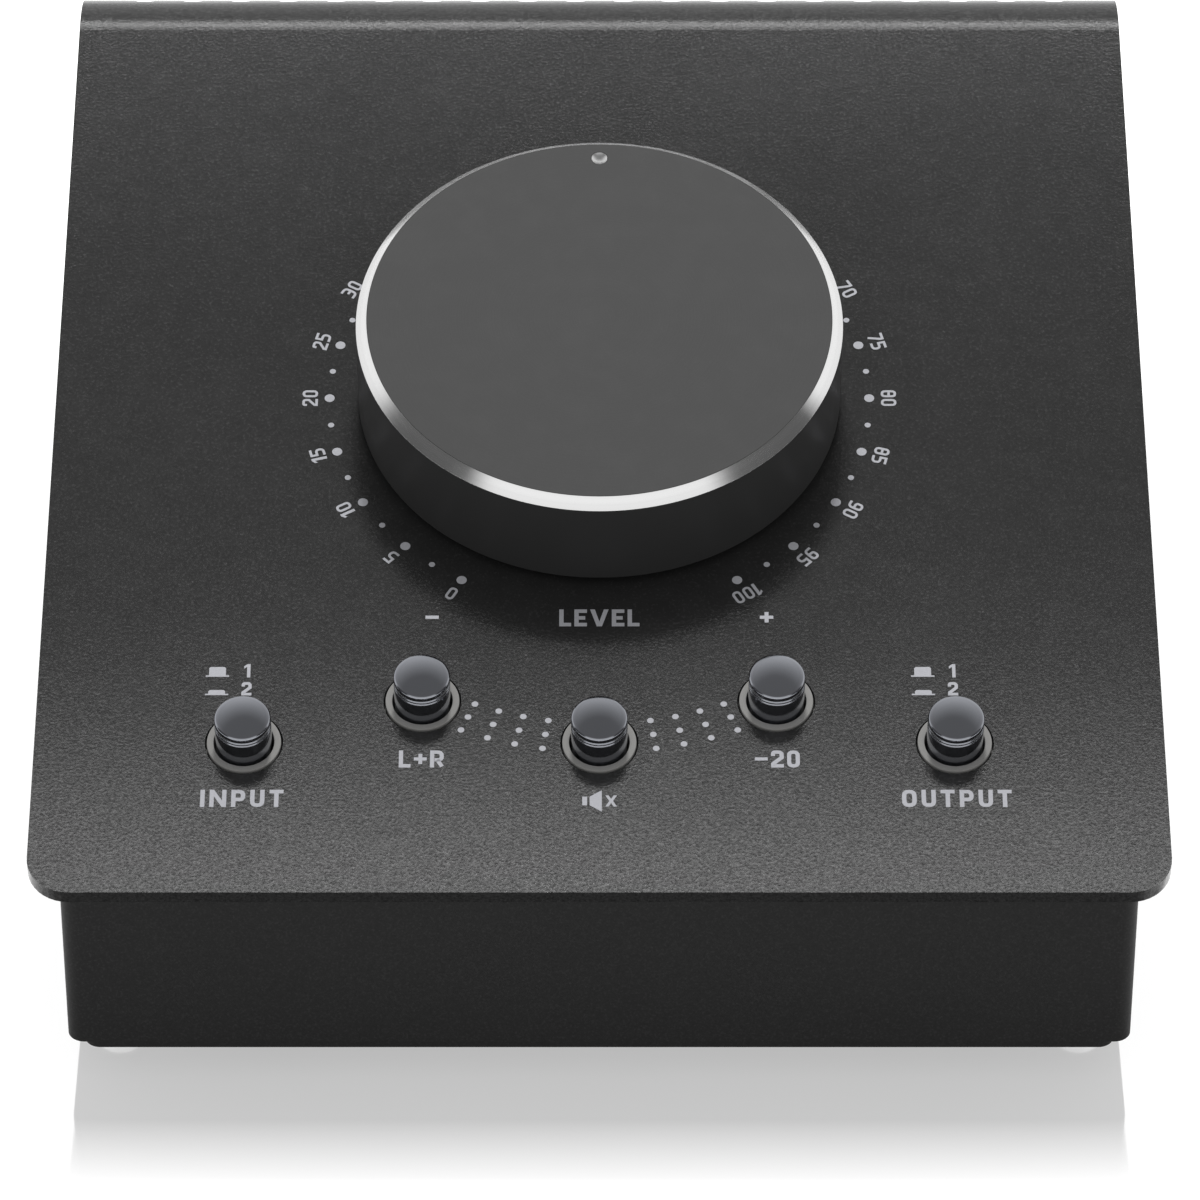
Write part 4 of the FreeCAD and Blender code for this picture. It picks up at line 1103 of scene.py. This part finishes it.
def rounded_corner(here, before, after, rounding):
    """A corner's points on a curve between its two sides, at most half of each side away."""
    reach = min(rounding, 0.5 * before.length, 0.5 * after.length)
    start = here + before.normalized() * reach
    end = here + after.normalized() * reach
    shares = [step / CORNER_STEPS for step in range(CORNER_STEPS + 1)]
    return [start * (1 - share) ** 2 + here * 2 * share * (1 - share) + end * share ** 2 for share in shares]


def pen_stroke(points, height, stroke):
    """One stroke as a flat closed strip of ink, lying on Z = 0, with its rounded corners."""
    closed = points[0][:2] == points[-1][:2]
    corners = points[:-1] if closed else points
    places = [Vector((point[0] * height, point[1] * height, 0)) for point in corners]
    if not closed:
        places[0] += (places[0] - places[1]).normalized() * stroke / 2
        places[-1] += (places[-1] - places[-2]).normalized() * stroke / 2
    line = []
    for number, point in enumerate(corners):
        here = places[number]
        if len(point) < 3:
            line.append(here)
        else:
            after = places[(number + 1) % len(places)] - here
            line += rounded_corner(here, places[number - 1] - here, after, CORNER_REACH * height)
    if closed:
        line.append(line[0])
    piece = draw_line("stroke", line)
    merge_points(INK_MEET)
    extrude((0, 0, INK_THICK))
    to_object()
    apply_modifier(piece, "SOLIDIFY", thickness=stroke, offset=0, use_even_offset=True)
    to_edit(piece)
    turn_outwards()
    to_object()
    return piece


def glyph_model(letter, height, stroke):
    """The letter as one piece with its lower left corner at the origin, drawn once for each size."""
    key = (letter, height, stroke)
    if key not in GLYPH_MODELS:
        name = f"glyph_{len(GLYPH_MODELS)}"
        if letter in FILLED_GLYPHS:
            model = filled_shape(name, [(x * height, y * height) for x, y in FILLED_GLYPHS[letter][1]])
        else:
            model = join([pen_stroke(points, height - stroke, stroke) for points in GLYPHS[letter][1]], name)
            place(model, Matrix.Translation((stroke / 2, stroke / 2, 0)))
        GLYPH_MODELS[key] = model
    return GLYPH_MODELS[key]


def glyph_width(letter, height, stroke):
    """How wide the letter is."""
    if letter in FILLED_GLYPHS:
        return FILLED_GLYPHS[letter][0] * height
    return GLYPHS[letter][0] * (height - stroke) + stroke


def ink_place(across, along):
    """The frame of a print at a place on the panel, sunk a little so that no gap shows."""
    return ON_PANEL @ Matrix.Translation((across, along, -INK_SINK))


def word(name, text, pen, gap, matrix):
    """A word or number, centred in the matrix's frame, with even gaps between the letters."""
    widths = [glyph_width(letter, *pen) for letter in text]
    start = -(sum(widths) + gap * (len(text) - 1)) / 2
    letters = []
    for letter, width in zip(text, widths):
        copy = copy_of(glyph_model(letter, *pen), name)
        place(copy, matrix @ Matrix.Translation((start, -pen[0] / 2, 0)))
        letters.append(copy)
        start += width + gap
    return join(letters, name)


def print_dots(name, radius, places):
    """Equal flat dots with slightly rounded edges at several places on the panel, one piece."""
    model = new_piece("dot_model", bpy.ops.mesh.primitive_circle_add, vertices=DOT_SIDES, radius=radius,
                      fill_type="NGON")
    to_edit(model)
    select_all()
    extrude((0, 0, INK_THICK * DOT_WALL))
    extrude((0, 0, INK_THICK * (1 - DOT_WALL)))
    bpy.ops.transform.resize(value=(DOT_CROWN, DOT_CROWN, 1))
    turn_outwards()
    to_object()
    dots = [copy_of(model, name) for _ in places]
    for dot, (across, along) in zip(dots, places):
        place(dot, ink_place(across, along))
    remove(model)
    return join(dots, name)


def on_ring(radius, turn):
    """A place on a ring about the dial, the turn counted clockwise from straight up."""
    return radius * sin(turn), radius * cos(turn)


def make_dial_prints():
    """The scale: large dots with their numbers, small dots halfway between them."""
    turns = [DIAL_SWEEP * (step / DIAL_STEPS - 0.5) for step in range(DIAL_STEPS + 1)]
    halfway = [DIAL_SWEEP * ((step + 0.5) / DIAL_STEPS - 0.5) for step in range(DIAL_STEPS)]
    large = print_dots("dial_dots_large", MAJOR_DOT, [on_ring(DOT_RING, turn) for turn in turns])
    small = print_dots("dial_dots_small", MINOR_DOT, [on_ring(DOT_RING, turn) for turn in halfway])
    numbers = []
    for step, turn in enumerate(turns):
        there = ink_place(*on_ring(NUMBER_RING, turn)) @ Matrix.Rotation(-turn, 4, "Z")
        numbers.append(word(f"number_{step}", str(NUMBER_STEP * step), NUMBER_PEN, NUMBER_GAP, there))
    return [large, small, join(numbers, "dial_numbers")]


def legend(name, text, pen, across, along, gap=LETTER_GAP):
    """One printed legend, centred at a place on the panel."""
    return word(name, text, pen, gap, ink_place(across, along))


def ink_shape(name, outline, across, along):
    """A filled shape printed at a place on the panel."""
    piece = filled_shape(name, outline)
    place(piece, ink_place(across, along))
    return piece


def push_sign(name, rise, across, along):
    """The sign for a button's state: a button seen from the side on a thin line, out or pushed in."""
    half = 1.45 * MM
    base = 0.22 * MM
    body = 1.05 * MM
    chamfer = 0.2 * MM
    return ink_shape(name, [
        (-half, 0), (half, 0), (half, base), (body, base), (body, rise - chamfer), (body - chamfer, rise),
        (chamfer - body, rise), (-body, rise - chamfer), (-body, base), (-half, base)], across, along)


def mute_sign(across, along):
    """The sign for mute: a loudspeaker with a cross beside it."""
    tall = 1.65 * MM
    slim = 0.66 * MM
    back = -2.1 * MM
    plate = 0.6 * MM
    horn_start = -1.2 * MM
    horn_end = 0.3 * MM
    magnet = ink_shape("mute_magnet", [
        (back, -slim), (back + plate, -slim), (back + plate, slim), (back, slim)], across, along)
    horn = ink_shape("mute_horn", [
        (horn_start, -slim), (horn_end, -tall), (horn_end, tall), (horn_start, slim)], across, along)
    cross = legend("mute_cross", "X", CROSS_PEN, across + CROSS_SIDE, along, gap=0)
    return join([magnet, horn, cross], "mute_sign")


def make_legends():
    """The plain legends: the scale's ends, each button's job and the outer buttons' two push states."""
    outer_x, outer_y = button_place("monitor")
    inner_x, inner_y = button_place("dim")
    prints = [
        legend("legend_level", "LEVEL", LEVEL_PEN, 0, LEVEL_ROW),
        legend("legend_less", "-", ENDS_PEN, -ENDS_SIDE, ENDS_ROW),
        legend("legend_more", "+", ENDS_PEN, ENDS_SIDE, ENDS_ROW),
        legend("legend_sum", "L+R", INNER_PEN, -inner_x, inner_y + INNER_ROW),
        legend("legend_dim", "-20", INNER_PEN, inner_x, inner_y + INNER_ROW),
        legend("legend_input", "INPUT", OUTER_PEN, -outer_x, outer_y + OUTER_ROW, OUTER_GAP),
        legend("legend_output", "OUTPUT", OUTER_PEN, outer_x, outer_y + OUTER_ROW, OUTER_GAP),
        mute_sign(0, outer_y + INNER_ROW),
    ]
    for side, button_x in (("left", -outer_x), ("right", outer_x)):
        for state, (rise, row) in (("out", SIGN_OUT), ("in", SIGN_IN)):
            prints.append(push_sign(f"sign_{state}_{side}", rise, button_x + SIGN_SIDE, outer_y + row))
        for text, row in zip("12", FIGURE_ROWS):
            prints.append(legend(
                f"figure_{text}_{side}", text, FIGURE_PEN, button_x + FIGURE_SIDE, outer_y + row))
    return prints


def make_link_dots():
    """Three rows of dots on arcs about the dial, between the middle buttons on either side."""
    places = []
    for row in LINK_ROWS:
        for step in range(LINK_COUNT):
            across, along = on_ring(row, pi + LINK_START + step * LINK_STEP)
            places += [(across, along + LINK_CENTRE), (-across, along + LINK_CENTRE)]
    return print_dots("link_dots", LINK_DOT, places)


def make_prints():
    """All prints in ink, riding on the case."""
    prints = [*make_dial_prints(), *make_legends(), make_link_dots()]
    for piece in prints:
        dress(piece, "print_ink")
        seat(piece, "case", [])
    remove(*GLYPH_MODELS.values())
    return prints


# ---------------------------------------------------------------- nodes that keep their shape

PLAIN_NODES = {
    "body_paint": ["body_shell", "base_plate"],
    "steel": ["cover_studs", "cover_nuts", "board_screws", "pot_housing", "pot_washer", "pot_shaft"],
    "nickel": ["board_spacers", "board_pins", "jack_pins", "pot_nut"],
    "brass": ["pot_bushing", "knob_hub"],
    "board": ["main_board", "rear_board"],
    "resistor_body": ["dim_resistors"],
    "track_plastic": ["pot_track"],
    "ribbon": ["ribbon_cable"],
    "switch_plastic": [f"{button}_switch" for button in BUTTONS],
    "black_plastic": ["pot_rotor", "main_plug", "rear_plug", *(f"{button}_plunger" for button in BUTTONS)],
}


def make_springs():
    """Each button's coil spring, which stands on its switch: a copy of its node with its points merged."""
    for button in BUTTONS:
        coil = copy_of(frame["nodes"][f"{button}_spring"], f"{button}_spring_coil")
        to_edit(coil)
        merge_points()
        turn_outwards()
        to_object()
        dress(coil, "spring_steel")
        seat(coil, "case", [f"{button}_spring"])
        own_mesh(coil)


def dress_nodes():
    """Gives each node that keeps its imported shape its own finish."""
    for finish, names in PLAIN_NODES.items():
        for name in names:
            dress(frame["nodes"][name], finish)


# ---------------------------------------------------------------- studio

def make_camera():
    """The long lens, in front of the controller and above it."""
    data = bpy.data.cameras.new("studio_camera")
    data.lens = CAMERA_LENS
    data.sensor_width = CAMERA_SENSOR
    camera = bpy.data.objects.new("studio_camera", data)
    camera.location = CAMERA_PLACE
    camera.rotation_euler = (CAMERA_TILT, 0, 0)
    bpy.context.scene.collection.objects.link(camera)
    bpy.context.scene.camera = camera


def soft_box(name, middle, aim, width, height, level, diffuse=True, glossy=True, receivers=None):
    """A soft rectangular lamp, aimed at a point. It may be a card for sheen only, or for some pieces only."""
    data = bpy.data.lights.new(name, "AREA")
    data.shape = "RECTANGLE"
    data.size = width
    data.size_y = height
    data.energy = level * pi * width * height
    lamp = bpy.data.objects.new(name, data)
    lamp.location = middle
    lamp.rotation_euler = (Vector(aim) - Vector(middle)).to_track_quat("-Z", "Y").to_euler()
    lamp.visible_camera = False
    lamp.visible_diffuse = diffuse
    lamp.visible_glossy = glossy
    if receivers:
        lamp.light_linking.receiver_collection = receivers
    bpy.context.scene.collection.objects.link(lamp)


def make_floor():
    """A plain white floor that keeps the shadow and faintly mirrors what stands close by on all sides."""
    floor = new_piece("studio_floor", bpy.ops.mesh.primitive_plane_add, size=FLOOR_SIZE)
    tree, shader, where = new_finish("studio_floor", roughness=1.0, specular=0.0)
    FINISHES["studio_floor"].cycles.emission_sampling = "NONE"
    path = add_node(tree, "LightPath", {})
    seen = calculate(tree, "MAXIMUM", path["Is Camera Ray"], path["Is Glossy Ray"])
    shown = calculate(tree, "MAXIMUM", seen, path["Is Transmission Ray"])
    set_inputs(shader, {"Base Color": FLOOR_GREY, "Emission Color": (1, 1, 1, 1),
                        "Emission Strength": calculate(tree, "MULTIPLY", shown, FLOOR_LIFT)})
    parts = split(tree, where)
    past_side = calculate(tree, "SUBTRACT", calculate(tree, "ABSOLUTE", parts["X"]), cad_box[1][0])
    past_front = calculate(tree, "SUBTRACT", calculate(tree, "ABSOLUTE", parts["Y"]), cad_box[1][1])
    distance = calculate(tree, "MAXIMUM", past_side, past_front)
    near = remap(tree, distance, MIRROR_FULL, MIRROR_END, to_low=MIRROR_SHARE, to_high=0.0)
    mirror = add_node(tree, "BsdfAnisotropic", {"Color": (1, 1, 1, 1), "Roughness": MIRROR_ROUGHNESS})[0]
    surface = add_node(tree, "MixShader", {0: near, 1: shader.outputs[0], 2: mirror})[0]
    set_inputs(tree.nodes["Material Output"], {"Surface": surface})
    dress(floor, "studio_floor")


def make_world():
    """White behind what is seen, an even soft light, and the room with its two flags for what mirrors it."""
    world = bpy.data.worlds.new("studio_world")
    bpy.context.scene.world = world
    world.use_nodes = True
    world.cycles.sampling_method = "NONE"
    tree = world.node_tree
    path = add_node(tree, "LightPath", {})
    way = split(tree, add_node(tree, "TexCoord", {})["Generated"])
    side = calculate(tree, "ABSOLUTE", way["X"])
    turn = calculate(tree, "ARCTAN2", side, calculate(tree, "MULTIPLY", way["Y"], -1.0))
    away = calculate(tree, "ABSOLUTE", calculate(tree, "SUBTRACT", turn, FLAG_MIDDLE))
    walls = remap(tree, away, FLAG_HALF - FLAG_EDGE, FLAG_HALF + FLAG_EDGE, FLAG_LEVEL, ROOM_LEVEL)
    high = remap(tree, way["Z"], CEILING_START, CEILING_END)
    to_ceiling = calculate(tree, "SUBTRACT", CEILING_LEVEL, walls)
    room = calculate(tree, "ADD", walls, calculate(tree, "MULTIPLY", to_ceiling, high))
    shown = calculate(tree, "MAXIMUM", path["Is Glossy Ray"], path["Is Transmission Ray"])
    mirrored = calculate(tree, "MULTIPLY", room, shown)
    matt = calculate(tree, "MULTIPLY", path["Is Diffuse Ray"], STUDIO_AMBIENT)
    rest = calculate(tree, "ADD", mirrored, matt)
    set_inputs(tree.nodes["Background"], {
        "Color": (1, 1, 1, 1), "Strength": calculate(tree, "MAXIMUM", rest, path["Is Camera Ray"])})


def make_studio(panel_pieces):
    """Camera, floor, world, one key lamp and the cards that give the painted panel its sheen."""
    make_camera()
    make_floor()
    make_world()
    panel_only = bpy.data.collections.new("panel_only")
    for piece in panel_pieces:
        panel_only.objects.link(piece)
    soft_box("key_above", middle=(0, 0.184, 0.619), aim=(0, -0.034, 0.06), width=0.09, height=0.07,
             level=KEY_LEVEL, glossy=False)
    soft_box("sheen_card", middle=(0, -0.004, 0.35), aim=(0, -0.06, 0.045), width=0.3, height=0.14,
             level=SHEEN_LEVEL, diffuse=False, receivers=panel_only)
    soft_box("bend_card", middle=(0, 0.443, 0.534), aim=(0, 0.065, 0.068), width=0.5, height=0.094,
             level=BEND_LEVEL, diffuse=False, receivers=panel_only)
    bpy.context.scene.view_settings.view_transform = "Standard"


cover_sheet = make_cover()
make_knob()
make_buttons()
make_jacks()
make_screws()
make_feet()
make_springs()
panel_prints = make_prints()
dress_nodes()
make_studio([cover_sheet, *panel_prints])

bpy.context.view_layer.update()
